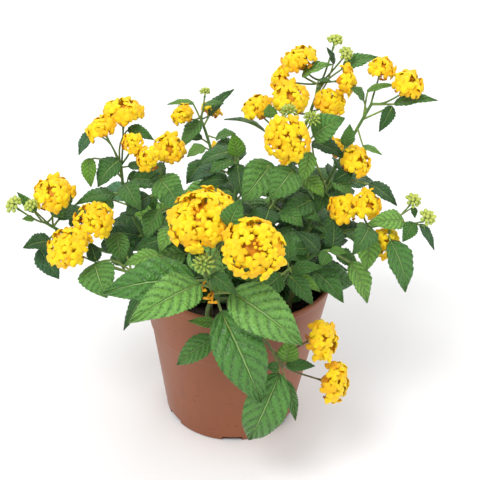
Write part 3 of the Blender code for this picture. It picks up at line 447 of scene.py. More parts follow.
class Blade:
    """A leaf blade's surface: where the point u along and v across it lies."""

    def __init__(self, base: Vector, tip: Vector, width: float, roll: float, arch: float) -> None:
        """Sets out the blade.

        Args:
            base: Where it meets its petiole.
            tip: Its tip.
            width: Its width in metres.
            roll: Degrees that it is turned about its length.
            arch: Its rise in the middle, as a share of its length.
        """
        self.base = base
        self.length = (tip - base).length
        self.along = (tip - base).normalized()
        outward = Vector((base.x, base.y, 0.0)).normalized()
        lift = LEAF_LIGHT + LEAF_SPREAD * outward
        raised = (lift - self.along * lift.dot(self.along)).normalized()
        self.up = Matrix.Rotation(math.radians(roll), 3, self.along) @ raised
        self.side = self.up.cross(self.along)
        self.half_width = width / 2
        self.arch = arch * self.length

    @staticmethod
    def spread(u: np.ndarray | float) -> np.ndarray | float:
        """Gives the share of the half width that the blade has at u."""
        return np.maximum(0.0, np.sin(np.pi * u**0.64)) ** 0.85

    def corner(self, u: float, v: float) -> Vector:
        """Gives the model's own corner at u along and v across the blade."""
        reach = self.half_width * float(self.spread(u)) * v
        rise = self.arch * 4 * u * (1 - u) + abs(reach) * math.sin(LEAF_FOLD)
        run = self.along * self.length * u
        return self.base + run + self.side * reach * math.cos(LEAF_FOLD) + self.up * rise

    def teeth(self) -> list[tuple[float, float]]:
        """Lists the model's corners along one edge, as pairs of u and v."""
        teeth = max(1, min(LEAF_MOST_TEETH, round(self.length / LEAF_TOOTH_SPACING)))
        count = 2 * teeth
        rim = []
        for i in range(count):
            u = (i + 1) / (count + 1)
            rim.append((u + 0.03, 1.0) if i % 2 else (u, LEAF_NOTCH))
        return rim

    def fine_points(
        self, u: np.ndarray, v: np.ndarray, height: np.ndarray, teeth: int = 0
    ) -> np.ndarray:
        """Places the fine blade's points.

        Args:
            u: How far along each point is, from 0 to 1.
            v: How far across, from -1 to 1.
            height: How far above the middle surface, in metres.
            teeth: How many teeth each edge has.

        Returns:
            One row of x, y and z for each point.
        """
        saw = np.sin(np.pi * (teeth * u % 1.0) ** TOOTH_SLANT)
        depth = min(TOOTH_SHARE, TOOTH_DEPTH / self.half_width)
        tooth = 1.0 - depth * np.abs(v) ** 7 * (1.0 - saw) * (u < TOOTHLESS_FROM)
        half = np.maximum(self.half_width * self.spread(u), LEAST_HALF_WIDTH)
        reach = half * v * tooth
        quilt = quilting(u, v) * min(QUILT_RISE, QUILT_SHARE * self.length)
        own_phase = 700 * self.length
        swing = np.sin(WAVE_COUNT * u + 2.2 * np.sign(v) + own_phase)
        wave = WAVE_SHARE * half * np.abs(v) ** 3 * swing
        fold = np.sqrt(reach**2 + FOLD_ROUNDING**2) * math.sin(LEAF_FOLD) - FOLD_DROP
        rise = self.arch * 4 * u * (1 - u) + fold + quilt + wave + height
        rows = np.outer(self.length * u, self.along)
        rows += np.outer(reach * math.cos(LEAF_FOLD), self.side) + np.outer(rise, self.up)
        return rows + np.array(self.base)


def quilting(u: np.ndarray, v: np.ndarray) -> np.ndarray:
    """Raises the blade between its side veins.

    Args:
        u: How far along each point is.
        v: How far across.

    Returns:
        A height from 0 at a vein to 1 between two.
    """
    across = np.abs(v)
    phase = (u - VEIN_SWEEP * across**VEIN_BOW) * VEIN_PAIRS + 0.5 * (v < 0)
    between = np.abs(np.sin(np.pi * phase)) ** 0.7
    return between * np.clip(across * 5, 0, 1) * (1 - across**4)


def planned_leaf(leaf: Leaf) -> tuple[Vector, Vector, float, float, float]:
    """Gives a planned leaf's base, tip, width, roll and arch."""
    base = seen(*leaf.base, leaf.base_depth)
    tip = seen(*leaf.tip, leaf.tip_depth)
    return base, tip, leaf.width * LEAF_FULLNESS * MM, leaf.roll, leaf.arch


def filler_leaves(shoot: Shoot, path: list[Vector]) -> list[tuple[Vector, Vector, float, float, float]]:
    """Plans leaves in crossed pairs along the part of a stem that the photograph hides.

    Args:
        shoot: The leafy stem.
        path: Its centre line, as coarse as the model's.

    Returns:
        The base, tip, width, roll and arch of each leaf.
    """
    start = next(i for i, point in enumerate(path) if point.z > POT_HEIGHT + FILLER_CLEARANCE)
    own_turn = FILLER_FIRST_TURN + FILLER_STEM_TURN * (len(shoot.name) % FILLER_STEM_CYCLE)
    plans = []
    for pair in range(shoot.fillers):
        where = path[min(start + pair * 2, len(path) - 2)]
        for side in (0, 1):
            turn = own_turn + 90 * pair + 180 * side
            size = shoot.size * MM * (1.0 - FILLER_SHRINK * pair)
            base = where + aim(turn, FILLER_TILT) * FILLER_PETIOLE * MM
            tip = base + aim(turn, FILLER_DROOP) * size
            plans.append((base, tip, FILLER_WIDTH_SHARE * size, 0.0, FILLER_ARCH))
    return plans


def candidates(plan: tuple[Vector, Vector, float, float, float]) -> Iterator[Blade]:
    """Yields the blade as planned, then the ways in which it may have been bent clear."""
    base, tip, width, roll, arch = plan
    shape = Blade(base, tip, width, roll, arch)
    for scale in BEND_SIZES:
        for lift, sway in BENDS:
            for shift in BEND_SHIFTS:
                bend = (shape.up * lift + shape.side * sway) * MM
                reach = (tip - base) * scale
                yield Blade(base + shift * bend, base + reach + bend, width * scale, roll, arch)


class ModelCorners:
    """The corners of a node of the model, to find which of a leaf's ways of bending it holds."""

    def __init__(self, node: str) -> None:
        """Reads the corners of one node."""
        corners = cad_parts[node].data.vertices
        self.tree = kdtree.KDTree(len(corners))
        for i, corner in enumerate(corners):
            self.tree.insert(corner.co, i)
        self.tree.balance()

    def holds(self, blade: Blade) -> bool:
        """Tells whether the blade's tip and most of its edge are corners of the node."""
        if self.tree.find(blade.base + blade.along * blade.length)[2] > MATCH:
            return False
        rim = [blade.corner(u, sign * v) for u, v in blade.teeth() for sign in (1, -1)]
        found = sum(self.tree.find(point)[2] < MATCH for point in rim)
        return found >= len(rim) / 2


def select_only(made: bpy.types.Object) -> None:
    """Makes an object the only one selected, and the active one."""
    bpy.ops.object.select_all(action="DESELECT")
    made.select_set(True)
    bpy.context.view_layer.objects.active = made


def coordinates(mesh: bpy.types.Mesh) -> np.ndarray:
    """Reads a mesh's points, one row for each."""
    rows = np.empty(len(mesh.vertices) * 3)
    mesh.vertices.foreach_get("co", rows)
    return rows.reshape(-1, 3)


def set_coordinates(mesh: bpy.types.Mesh, rows: np.ndarray) -> None:
    """Moves a mesh's points to the given rows."""
    mesh.vertices.foreach_set("co", np.ascontiguousarray(rows, np.float64).ravel())
    mesh.update()


@dataclass
class Stock:
    """A piece modelled once, whose copies are shaped and joined."""

    source: bpy.types.Object
    rows: np.ndarray

    @classmethod
    def keep(cls, made: bpy.types.Object, slots: list[bpy.types.Material]) -> "Stock":
        """Takes the active object out of the scene as a stock piece.

        Args:
            made: The finished object.
            slots: Its materials.

        Returns:
            The stock.
        """
        made.data.attributes.new("tint", "FLOAT", "POINT")
        for finish in slots:
            made.data.materials.append(finish)
        rows = coordinates(made.data)
        for group in made.users_collection:
            group.objects.unlink(made)
        return cls(made, rows)

    def copy(self, rows: np.ndarray, tint: float, slot: int | None = None) -> bpy.types.Object:
        """Makes a shaped copy with a mesh of its own.

        Args:
            rows: Where the points go.
            tint: The shade, from 0 to 1, that its finish reads.
            slot: The material slot of all its faces, or None to keep the stock's.

        Returns:
            The copy, in the scene.
        """
        mesh = self.source.data.copy()
        set_coordinates(mesh, rows)
        mesh.attributes["tint"].data.foreach_set("value", np.full(len(rows), tint, np.float32))
        if slot is not None:
            mesh.polygons.foreach_set("material_index", np.full(len(mesh.polygons), slot, np.int32))
        made = bpy.data.objects.new("part", mesh)
        bpy.context.scene.collection.objects.link(made)
        return made


def join(name: str, parts: list[bpy.types.Object]) -> bpy.types.Object:
    """Joins objects into one piece.

    Args:
        name: The piece's name.
        parts: The objects, at least one.

    Returns:
        The piece.
    """
    bpy.ops.object.select_all(action="DESELECT")
    for part in parts:
        part.select_set(True)
    bpy.context.view_layer.objects.active = parts[0]
    if len(parts) > 1:
        bpy.ops.object.join()
    made = bpy.context.view_layer.objects.active
    made.name = name
    made.data.name = name
    return made


def set_piece(piece: bpy.types.Object, node: str) -> None:
    """Puts a piece in the place of a node and logs it."""
    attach(piece, "root")
    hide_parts(node)
    log.info("%s: %d faces in place of %s", piece.name, len(piece.data.polygons), node)


def turned(name: str, profile: list[Pair], sides: int) -> bpy.types.Object:
    """Turns a profile about Z by extruding a disc ring by ring.

    Args:
        name: The object's name.
        profile: The radius and height of each ring, from the middle of the underside to the last.
        sides: How many sides it has.

    Returns:
        A closed solid.
    """
    radius, height = profile[0]
    bpy.ops.mesh.primitive_circle_add(
        vertices=sides, radius=radius, fill_type="NGON", location=(0, 0, height)
    )
    made = bpy.context.object
    made.name = name
    bpy.ops.object.transform_apply(location=True)
    bpy.ops.object.mode_set(mode="EDIT")
    bpy.ops.mesh.select_all(action="SELECT")
    for (was, low), (now, high) in zip(profile, profile[1:]):
        bpy.ops.mesh.extrude_region_move(TRANSFORM_OT_translate={"value": (0, 0, high - low)})
        share = now / was
        bpy.ops.transform.resize(value=(share, share, 1), center_override=(0, 0, 0))
    bpy.ops.mesh.select_all(action="SELECT")
    bpy.ops.mesh.normals_make_consistent(inside=False)
    bpy.ops.object.mode_set(mode="OBJECT")
    bpy.ops.object.shade_smooth_by_angle(angle=SMOOTH_ANGLE)
    return made


class Graph:
    """A short way to write a material's or a node group's nodes."""

    def __init__(self, tree: bpy.types.NodeTree) -> None:
        """Works on one node tree."""
        self.tree = tree

    def add(self, kind: str, **settings: object) -> bpy.types.Node:
        """Adds a node.

        Args:
            kind: Its type's name without the ShaderNode in front.
            settings: Its properties.

        Returns:
            The node.
        """
        made = self.tree.nodes.new("ShaderNode" + kind)
        for key, value in settings.items():
            setattr(made, key, value)
        return made

    def feed(self, value: object, socket: bpy.types.NodeSocket) -> None:
        """Links an output to a socket, or sets the socket to a plain value."""
        if isinstance(value, bpy.types.NodeSocket):
            self.tree.links.new(value, socket)
        elif isinstance(value, tuple) and len(value) == 3 and socket.type == "RGBA":
            socket.default_value = (*value, 1.0)
        else:
            socket.default_value = value

    def maths(self, operation: str, *values: object) -> bpy.types.NodeSocket:
        """Adds a Math node on up to three values and gives its output."""
        made = self.add("Math", operation=operation)
        for value, socket in zip(values, made.inputs):
            self.feed(value, socket)
        return made.outputs[0]

    def blend(self, share: object, first: object, second: object) -> bpy.types.NodeSocket:
        """Mixes two colours and gives the output."""
        made = self.add("Mix", data_type="RGBA")
        self.feed(share, made.inputs["Factor"])
        self.feed(first, made.inputs[6])
        self.feed(second, made.inputs[7])
        return made.outputs[2]

    def ramp(
        self, value: object, low: float, high: float, to: Pair = (0.0, 1.0)
    ) -> bpy.types.NodeSocket:
        """Maps a value from one range to another, eased and held at the ends."""
        made = self.add("MapRange", interpolation_type="SMOOTHSTEP")
        for part, socket in zip((value, low, high, *to), made.inputs):
            self.feed(part, socket)
        return made.outputs[0]

    def noise(self, vector: object, scale: float, detail: float = 3.0) -> bpy.types.NodeSocket:
        """Adds a Noise Texture and gives its value."""
        made = self.add("TexNoise")
        self.feed(vector, made.inputs["Vector"])
        self.feed(scale, made.inputs["Scale"])
        self.feed(detail, made.inputs["Detail"])
        return made.outputs[0]

    def bump(self, height: object, distance: float, strength: float = 1.0) -> bpy.types.NodeSocket:
        """Adds a Bump node over a height and gives its normal."""
        made = self.add("Bump")
        self.feed(height, made.inputs["Height"])
        self.feed(distance, made.inputs["Distance"])
        self.feed(strength, made.inputs["Strength"])
        return made.outputs[0]

    def object_place(self) -> bpy.types.NodeSocket:
        """Gives the point's place on the object."""
        return self.add("TexCoord").outputs["Object"]

    def own_uv(self) -> tuple[bpy.types.NodeSocket, bpy.types.NodeSocket]:
        """Gives the two coordinates of the piece's own UV map."""
        split = self.add("SeparateXYZ")
        self.feed(self.add("UVMap", uv_map="own").outputs[0], split.inputs[0])
        return split.outputs[0], split.outputs[1]

    def tint(self) -> bpy.types.NodeSocket:
        """Gives the shade that each leaf, floret or bud carries."""
        return self.add("Attribute", attribute_name="tint").outputs["Fac"]


def group(name: str, outputs: tuple[str, ...], write: Callable[[Graph], dict]) -> bpy.types.NodeTree:
    """Makes a node group that gives only values.

    Args:
        name: The group's name.
        outputs: Its outputs' names.
        write: Adds its nodes and returns a socket for each output.

    Returns:
        The group.
    """
    tree = bpy.data.node_groups.new(name, "ShaderNodeTree")
    for output in outputs:
        tree.interface.new_socket(output, in_out="OUTPUT", socket_type="NodeSocketFloat")
    graph = Graph(tree)
    found = write(graph)
    end = tree.nodes.new("NodeGroupOutput")
    for output in outputs:
        tree.links.new(found[output], end.inputs[output])
    return tree


def vein_group() -> bpy.types.NodeTree:
    """Makes the group that draws a leaf's veins and the net between them from its UV map."""

    def write(graph: Graph) -> dict:
        """Adds the nodes of the veins and of the puckered skin between them."""
        along, across_uv = graph.own_uv()
        offset = graph.maths("SUBTRACT", across_uv, 0.5)
        across = graph.maths("MULTIPLY", graph.maths("ABSOLUTE", offset), 2.0)
        sweep = graph.maths("MULTIPLY", graph.maths("POWER", across, VEIN_BOW), VEIN_SWEEP)
        other_side = graph.maths("MULTIPLY", graph.maths("LESS_THAN", offset, 0.0), 0.5)
        spacing = graph.maths("MULTIPLY", graph.maths("SUBTRACT", along, sweep), VEIN_PAIRS)
        phase = graph.maths("ADD", spacing, other_side)
        near = graph.maths("PINGPONG", phase, 0.5)
        fade = graph.ramp(across, 0.5, 1.0, (1.0, 0.1))
        side_vein = graph.maths("MULTIPLY", graph.ramp(near, 0.0, 0.07, (0.4, 0.0)), fade)
        midrib = graph.ramp(across, 0.012, 0.05, (1.0, 0.0))
        place = graph.add("CombineXYZ")
        graph.feed(graph.maths("MULTIPLY", along, 2.0), place.inputs[0])
        graph.feed(across_uv, place.inputs[1])
        net = graph.add("TexVoronoi", feature="SMOOTH_F1")
        graph.feed(place.outputs[0], net.inputs["Vector"])
        graph.feed(23.0, net.inputs["Scale"])
        pucker = graph.ramp(net.outputs["Distance"], 0.1, 0.75, (1.0, 0.0))
        quilt = graph.maths("POWER", graph.maths("MULTIPLY", near, 2.0), 0.6)
        quilt_part = graph.maths("MULTIPLY", quilt, 0.6)
        rise = graph.maths("ADD", quilt_part, graph.maths("MULTIPLY", pucker, 0.4))
        rise = graph.maths("MULTIPLY", rise, graph.ramp(across, 0.0, 0.1))
        return {"Vein": graph.maths("MAXIMUM", side_vein, midrib), "Rise": rise}

    return group("leaf_veins", ("Vein", "Rise"), write)


@dataclass(frozen=True)
class Finish:
    """A Principled finish; each kind adds its own nodes."""

    name: str
    roughness: float = 0.5

    def make(self) -> bpy.types.Material:
        """Makes the material."""
        made = bpy.data.materials.new(self.name)
        made.use_nodes = True
        shader = made.node_tree.nodes["Principled BSDF"]
        shader.inputs["Roughness"].default_value = self.roughness
        self.write(Graph(made.node_tree), shader.inputs)
        return made

    def write(self, graph: Graph, shader: bpy.types.NodeInputs) -> None:
        """Adds the nodes and feeds the shader."""
        raise NotImplementedError


@dataclass(frozen=True)
class LeafFinish(Finish):
    """One face of a leaf: deep green with paler veins and a quilted, slightly glossy skin, with painted
    shade in the grooves between quilts and a painted glow on leaves lit through.
    """

    # deep is the darkest leaves' green, and also painted shade in the grooves and on the inner leaves
    deep: Colour = (0.016, 0.068, 0.016)
    mid: Colour = (0.07, 0.215, 0.028)
    # young is the young leaves' paler green, which the large front leaves also take in part as painted
    # light
    young: Colour = (0.25, 0.52, 0.1)
    # A painted glow for leaves lit through from behind
    backlit_glow: Colour = (0.17, 0.38, 0.012)
    cool: Colour = (0.075, 0.2, 0.1)
    vein: Colour = (0.34, 0.52, 0.15)
    vein_share: float = 0.7
    relief: float = 1.3 * MM
    veins: bpy.types.NodeTree | None = None

    def write(self, graph: Graph, shader: bpy.types.NodeInputs) -> None:
        """Adds the nodes and feeds the shader."""
        lines = graph.add("Group", node_tree=self.veins)
        place = graph.object_place()
        patch = graph.ramp(graph.noise(place, 55.0), 0.35, 0.65)
        shade = graph.tint()
        green = graph.blend(graph.ramp(shade, 0.0, 0.5), self.deep, self.mid)
        green = graph.blend(graph.ramp(shade, 0.5, 1.0), green, self.young)
        # Painted light: shades above 1 blend towards the glow of a leaf lit through
        green = graph.blend(graph.ramp(shade, 1.0, 2.0), green, self.backlit_glow)
        green = graph.blend(graph.ramp(shade, -1.0, 0.0, (1.0, 0.0)), green, self.cool)
        green = graph.blend(graph.maths("MULTIPLY", patch, 0.22), green, self.mid)
        # Painted shade: the grooves between the quilts are darkened towards the deep green
        groove_shade = graph.ramp(lines.outputs["Rise"], 0.1, 0.7, (0.72, 0.0))
        green = graph.blend(groove_shade, green, self.deep)
        line = graph.maths("MULTIPLY", lines.outputs["Vein"], self.vein_share)
        graph.feed(graph.blend(line, green, self.vein), shader["Base Color"])
        grain = graph.maths("MULTIPLY", graph.noise(place, 900.0), 0.1)
        height = graph.maths("ADD", lines.outputs["Rise"], grain)
        graph.feed(graph.bump(height, self.relief), shader["Normal"])
        gloss = graph.maths("MULTIPLY_ADD", patch, 0.1, self.roughness - 0.05)
        graph.feed(gloss, shader["Roughness"])
        shader["Specular IOR Level"].default_value = 0.5
        shader["Sheen Weight"].default_value = 0.06
        shader["Sheen Roughness"].default_value = 0.4
        shader["Subsurface Weight"].default_value = 0.12
        shader["Subsurface Radius"].default_value = (0.4, 1.0, 0.1)
        shader["Subsurface Scale"].default_value = 1.5 * MM


@dataclass(frozen=True)
class PetalFinish(Finish):
    """A floret: golden yellow, deeper towards its throat, with older ones more orange."""

    fresh: Colour = (0.98, 0.68, 0.004)
    older: Colour = (0.95, 0.4, 0.003)
    throat: Colour = (0.9, 0.3, 0.004)
    wilted_and_gap_shade: Colour = (0.33, 0.075, 0.006)

    def write(self, graph: Graph, shader: bpy.types.NodeInputs) -> None:
        """Adds the nodes and feeds the shader."""
        out, _ = graph.own_uv()
        place = graph.object_place()
        shade = graph.tint()
        base = graph.blend(graph.ramp(shade, 0.0, 1.0), self.fresh, self.older)
        patch = graph.ramp(graph.noise(place, 260.0), 0.4, 0.7)
        base = graph.blend(graph.maths("MULTIPLY", patch, 0.25), base, self.fresh)
        core = graph.ramp(out, 0.1, 0.4, (0.8, 0.0))
        base = graph.blend(core, base, self.throat)
        # Towards brown: the wilted florets' own colour, and in part on the heads' cores as painted
        # shade between the florets
        graph.feed(graph.blend(graph.ramp(shade, 1.1, 2.0), base, self.wilted_and_gap_shade), shader["Base Color"])
        graph.feed(graph.bump(graph.noise(place, 1400.0), 0.12 * MM), shader["Normal"])
        shader["Sheen Weight"].default_value = 0.08
        shader["Specular IOR Level"].default_value = 0.3
        shader["Subsurface Weight"].default_value = 0.2
        shader["Subsurface Radius"].default_value = (1.0, 0.6, 0.1)
        shader["Subsurface Scale"].default_value = 1.2 * MM


@dataclass(frozen=True)
class StemFinish(Finish):
    """A stem, stalk or bud: green, browner low down, with a fine nap."""

    low: Colour = (0.16, 0.12, 0.04)
    high: Colour = (0.13, 0.27, 0.045)
    tip: Colour = (0.6, 0.66, 0.12)
    dark: Colour = (0.03, 0.07, 0.015)
    mottle: float = 0.45
    green_from: float = 150.0 * MM

    def write(self, graph: Graph, shader: bpy.types.NodeInputs) -> None:
        """Adds the nodes and feeds the shader."""
        place = graph.object_place()
        split = graph.add("SeparateXYZ")
        graph.feed(place, split.inputs[0])
        height = graph.ramp(split.outputs[2], SOIL_TOP, self.green_from)
        green = graph.blend(height, self.low, self.high)
        green = graph.blend(graph.tint(), green, self.tip)
        patch = graph.ramp(graph.noise(place, 240.0), 0.35, 0.7)
        dark = graph.blend(self.mottle, green, self.dark)
        graph.feed(graph.blend(patch, dark, green), shader["Base Color"])
        graph.feed(graph.bump(graph.noise(place, 1800.0), 0.25 * MM), shader["Normal"])
        shader["Sheen Weight"].default_value = 0.2
        shader["Sheen Roughness"].default_value = 0.4


@dataclass(frozen=True)
class PlasticFinish(Finish):
    """The thin pot's plastic: satin terracotta colour, with faint flow marks, scuffs and dust, and
    painted shade in its drainage notches.
    """

    base: Colour = (0.262, 0.079, 0.03)
    pale: Colour = (0.312, 0.104, 0.044)
    stain: Colour = (0.17, 0.05, 0.024)
    # The near-black painted shade in the drainage notches, and how high and how far in it reaches
    shade: Colour = (0.012, 0.008, 0.007)
    notch_shade_top: float = 3.6 * MM
    notch_shade_radius: float = 49.25 * MM

    def write(self, graph: Graph, shader: bpy.types.NodeInputs) -> None:
        """Adds the nodes and feeds the shader."""
        place = graph.object_place()
        cloud = graph.ramp(graph.noise(place, 16.0), 0.35, 0.7)
        colour = graph.blend(graph.maths("MULTIPLY", cloud, 0.6), self.base, self.pale)
        stretched = graph.add("Mapping")
        graph.feed(place, stretched.inputs["Vector"])
        stretched.inputs["Scale"].default_value = (1.0, 1.0, 0.12)
        streak = graph.ramp(graph.noise(stretched.outputs[0], 160.0), 0.52, 0.8)
        colour = graph.blend(graph.maths("MULTIPLY", streak, 0.22), colour, self.stain)
        speck = graph.ramp(graph.noise(place, 420.0, 1.0), 0.66, 0.74)
        colour = graph.blend(graph.maths("MULTIPLY", speck, 0.7), colour, self.stain)
        # Painted shade: the notches' inner faces are blended to near black
        graph.feed(graph.blend(self.painted_notch_shade(graph, place), colour, self.shade), shader["Base Color"])
        gloss = graph.maths("MULTIPLY_ADD", cloud, 0.14, self.roughness)
        graph.feed(gloss, shader["Roughness"])
        wear = graph.maths("ADD", graph.noise(place, 700.0), graph.maths("MULTIPLY", streak, 0.6))
        graph.feed(graph.bump(wear, 0.06 * MM), shader["Normal"])
        shader["Specular IOR Level"].default_value = 0.32

    def painted_notch_shade(self, graph: Graph, place: bpy.types.NodeSocket) -> bpy.types.NodeSocket:
        """Masks the notches' inner faces, painted near black as shade for the dark hollow under the
        pot.
        """
        split = graph.add("SeparateXYZ")
        graph.feed(place, split.inputs[0])
        x, y, z = split.outputs
        squares = graph.maths("ADD", graph.maths("POWER", x, 2.0), graph.maths("POWER", y, 2.0))
        within = graph.maths("LESS_THAN", graph.maths("SQRT", squares), self.notch_shade_radius)
        return graph.maths("MULTIPLY", within, graph.maths("LESS_THAN", z, self.notch_shade_top))


@dataclass(frozen=True)
class SoilFinish(Finish):
    """Potting soil: dark brown crumbs with a few pale fibres."""

    dark: Colour = (0.012, 0.008, 0.006)
    mid: Colour = (0.05, 0.03, 0.018)
    fibre: Colour = (0.16, 0.1, 0.055)

    def write(self, graph: Graph, shader: bpy.types.NodeInputs) -> None:
        """Adds the nodes and feeds the shader."""
        place = graph.object_place()
        crumb = graph.add("TexVoronoi")
        graph.feed(place, crumb.inputs["Vector"])
        graph.feed(420.0, crumb.inputs["Scale"])
        colour = graph.blend(graph.ramp(graph.noise(place, 300.0), 0.3, 0.75), self.dark, self.mid)
        colour = graph.blend(graph.ramp(graph.noise(place, 520.0), 0.66, 0.74), colour, self.fibre)
        graph.feed(colour, shader["Base Color"])
        graph.feed(graph.bump(crumb.outputs["Distance"], 1.2 * MM), shader["Normal"])


@dataclass
class Pot:
    """The thin plastic pot with its rolled lip, shoulder and drainage notches."""

    foot_radius: float = 49.5 * MM
    foot_round: float = 0.9 * MM
    wall: float = 1.6 * MM
    floor: float = 5.5 * MM
    floor_middle: float = 1.0 * MM
    shoulder_height: float = 78.0 * MM
    shoulder_step: float = 1.0 * MM
    shoulder_ease: float = 0.1 * MM
    lip: float = 1.0 * MM
    lip_round: float = 0.9 * MM
    # Each ring from the neck to the rim, as its step out from the neck and its drop from the top
    lip_rings: tuple[Pair, ...] = ((-0.15, 5.6), (0.0, 4.9), (0.7, 4.2), (1.0, 3.2), (1.0, 0.9))
    sides: int = 128
    notch_count: int = 6
    notch_width: float = 15.0 * MM
    notch_height: float = 3.5 * MM
    notch_depth: float = 5.0 * MM
    notch_first: float = math.radians(-86)

    def __post_init__(self) -> None:
        """Takes the rim's radius and the height from the model's box."""
        low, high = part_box("pot")
        self.rim = (high.x - low.x) / 2
        self.height = high.z

    def profile(self) -> list[Pair]:
        """Lists the rings of the pot, from its underside over the lip to the inner floor."""
        slope = (self.rim - self.shoulder_step - self.foot_radius) / self.height
        shoulder = self.foot_radius + slope * self.shoulder_height
        above = shoulder + self.shoulder_step
        neck = self.rim - self.lip
        inner = self.rim - self.wall - self.lip
        ease, middle = self.shoulder_ease, (self.rim + inner) / 2
        rings = [(self.foot_radius - self.foot_round, 0.0)]
        for k in (1, 2, 3):
            turn = math.pi / 6 * k
            out = self.foot_radius - self.foot_round * (1 - math.sin(turn))
            rings.append((out, self.foot_round * (1 - math.cos(turn))))
        rings += [
            (shoulder - ease, self.shoulder_height - 0.6 * MM),
            (shoulder + ease, self.shoulder_height),
            (above - ease, self.shoulder_height + 0.9 * MM),
            (above + ease, self.shoulder_height + 1.6 * MM),
        ]
        rings += [(neck + out * MM, self.height - drop * MM) for out, drop in self.lip_rings]
        for k in range(1, 6):
            turn = math.pi / 6 * k
            out = middle + (self.rim - middle) * math.cos(turn)
            rings.append((out, self.height - self.lip_round * (1 - math.sin(turn))))
        rings += [
            (inner, self.height - self.lip_round),
            (inner - 0.3 * MM, self.height - 6 * MM),
            (self.foot_radius - self.wall, self.floor),
            (self.floor_middle, self.floor),
        ]
        return rings

    def build(self, plastic: bpy.types.Material) -> None:
        """Builds and dresses the pot."""
        pot = turned("fine_pot", self.profile(), self.sides)
        for i in range(self.notch_count):
            self.cut_notch(pot, self.notch_first + i * math.tau / self.notch_count)
        select_only(pot)
        bpy.ops.object.shade_smooth_by_angle(angle=SMOOTH_ANGLE)
        pot.data.materials.append(plastic)
        set_piece(pot, "pot")

    def cut_notch(self, pot: bpy.types.Object, angle: float) -> None:
        """Cuts one drainage notch in the foot, from below."""
        place = (self.foot_radius * math.cos(angle), self.foot_radius * math.sin(angle), 0.0)
        bpy.ops.mesh.primitive_cube_add(size=1.0, location=place, rotation=(0, 0, angle))
        cutter = bpy.context.object
        cutter.scale = (self.notch_depth, self.notch_width, 2 * self.notch_height)
        select_only(pot)
        cut = pot.modifiers.new("notch", "BOOLEAN")
        cut.object = cutter
        bpy.ops.object.modifier_apply(modifier="notch")
        bpy.data.objects.remove(cutter)


@dataclass
class Soil:
    """The potting soil: a lumpy crumbly top on a plug that fills the pot."""

    crumb: Stock
    foot_radius: float = 47.5 * MM
    edge_drop: float = 2.0 * MM
    crown: float = SOIL_CROWN * 0.8
    rings: int = 26
    sides: int = 90
    lumps_above: float = SOIL_TOP - 1.0 * MM
    lump: float = 1.2 * MM
    lumps_per_metre: float = 160.0
    deepest: float = 1.5 * MM
    crumb_count: int = 150
    crumb_reach: float = 0.94
    crumb_rise: float = 2.2 * MM
    crumb_shape: tuple[float, float, float] = (1.0, 0.8, 0.55)

    def __post_init__(self) -> None:
        """Takes the radius and the bottom from the model's box."""
        low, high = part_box("soil")
        self.radius = (high.x - low.x) / 2
        self.bottom = low.z

    def build(self, earth: bpy.types.Material) -> None:
        """Builds and dresses the soil."""
        profile = [(self.foot_radius, self.bottom), (self.radius, SOIL_TOP - self.edge_drop)]
        for i in range(self.rings):
            share = 1 - (i + 0.3) / self.rings
            profile.append((self.radius * share, SOIL_TOP + self.crown * (1 - share**2)))
        plug = turned("fine_soil", profile, self.sides)
        plug.data.attributes.new("tint", "FLOAT", "POINT")
        rows = coordinates(plug.data)
        top = rows[:, 2] > self.lumps_above
        lift = [self.lump_at(Vector(row)) for row in rows[top]]
        rows[top, 2] += np.clip(lift, -self.deepest, self.lump)
        set_coordinates(plug.data, rows)
        plug.data.materials.append(earth)
        piece = join("fine_soil", [plug, *self.crumbs()])
        set_piece(piece, "soil")

    def lump_at(self, place: Vector) -> float:
        """Gives how far a lump or a hollow lifts the soil at a place."""
        roughness, finer, octaves = 0.7, 2.1, 4
        return self.lump * noise.fractal(place * self.lumps_per_metre, roughness, finer, octaves)

    def crumbs(self) -> list[bpy.types.Object]:
        """Scatters crumbs over the soil by a golden-angle spiral."""
        made = []
        for i in range(self.crumb_count):
            out = self.radius * self.crumb_reach * math.sqrt((i + 0.5) / self.crumb_count)
            turn = i * GOLDEN_ANGLE
            size = (1.0 + 0.7 * math.sin(2.3 * i)) * MM
            place = (out * math.cos(turn), out * math.sin(turn), SOIL_TOP + self.crumb_rise)
            flat = Matrix.Diagonal([size * part for part in self.crumb_shape])
            spin = Matrix.Rotation(1.7 * i, 3, "Z") @ Matrix.Rotation(0.5 * math.sin(i), 3, "X")
            rows = self.crumb.rows @ np.array(spin @ flat).T + np.array(Vector(place))
            made.append(self.crumb.copy(rows, 0.0))
        return made


# The stock pieces' counts: a tube's and a throat's sides and rings, and a leaf's teeth and faces
TUBE_SIDES = 7
TUBE_ROWS = 12
THROAT_SIDES = 5
THROAT_ROWS = 4
LEAF_TEETH = 19
LEAF_COLUMNS = 14
SMALL_LEAF_TEETH = 9
SMALL_LEAF_COLUMNS = 8
FACES_PER_TOOTH = 4
LARGE_LEAF = 38 * MM

# The slots of a leafy stem's third material and of a head's two
STEM_SLOT = 2
PETAL_SLOT = 0
BUD_SLOT = 1

# What tubes and buds hold where a petal's finish reads how far it is from the floret's throat
PAST_THROAT = 0.9

# A floret of unit radius: its outline, and the dip and ripple of its face
FLORET_SIDES = 32
FLORET_INSET = 0.35
FLORET_THICKNESS = 0.07
LOBE_WAIST = 0.46
LOBE_BLUNTNESS = 0.5
LOBE_UNEVENNESS = 0.14
FLORET_RISE = 0.22
FLORET_DROOP = 0.4


@dataclass
class Kit:
    """The stock pieces that the plant is grown from."""

    leaf: Stock
    small_leaf: Stock
    tube: Stock
    throat: Stock
    floret: Stock
    bud: Stock


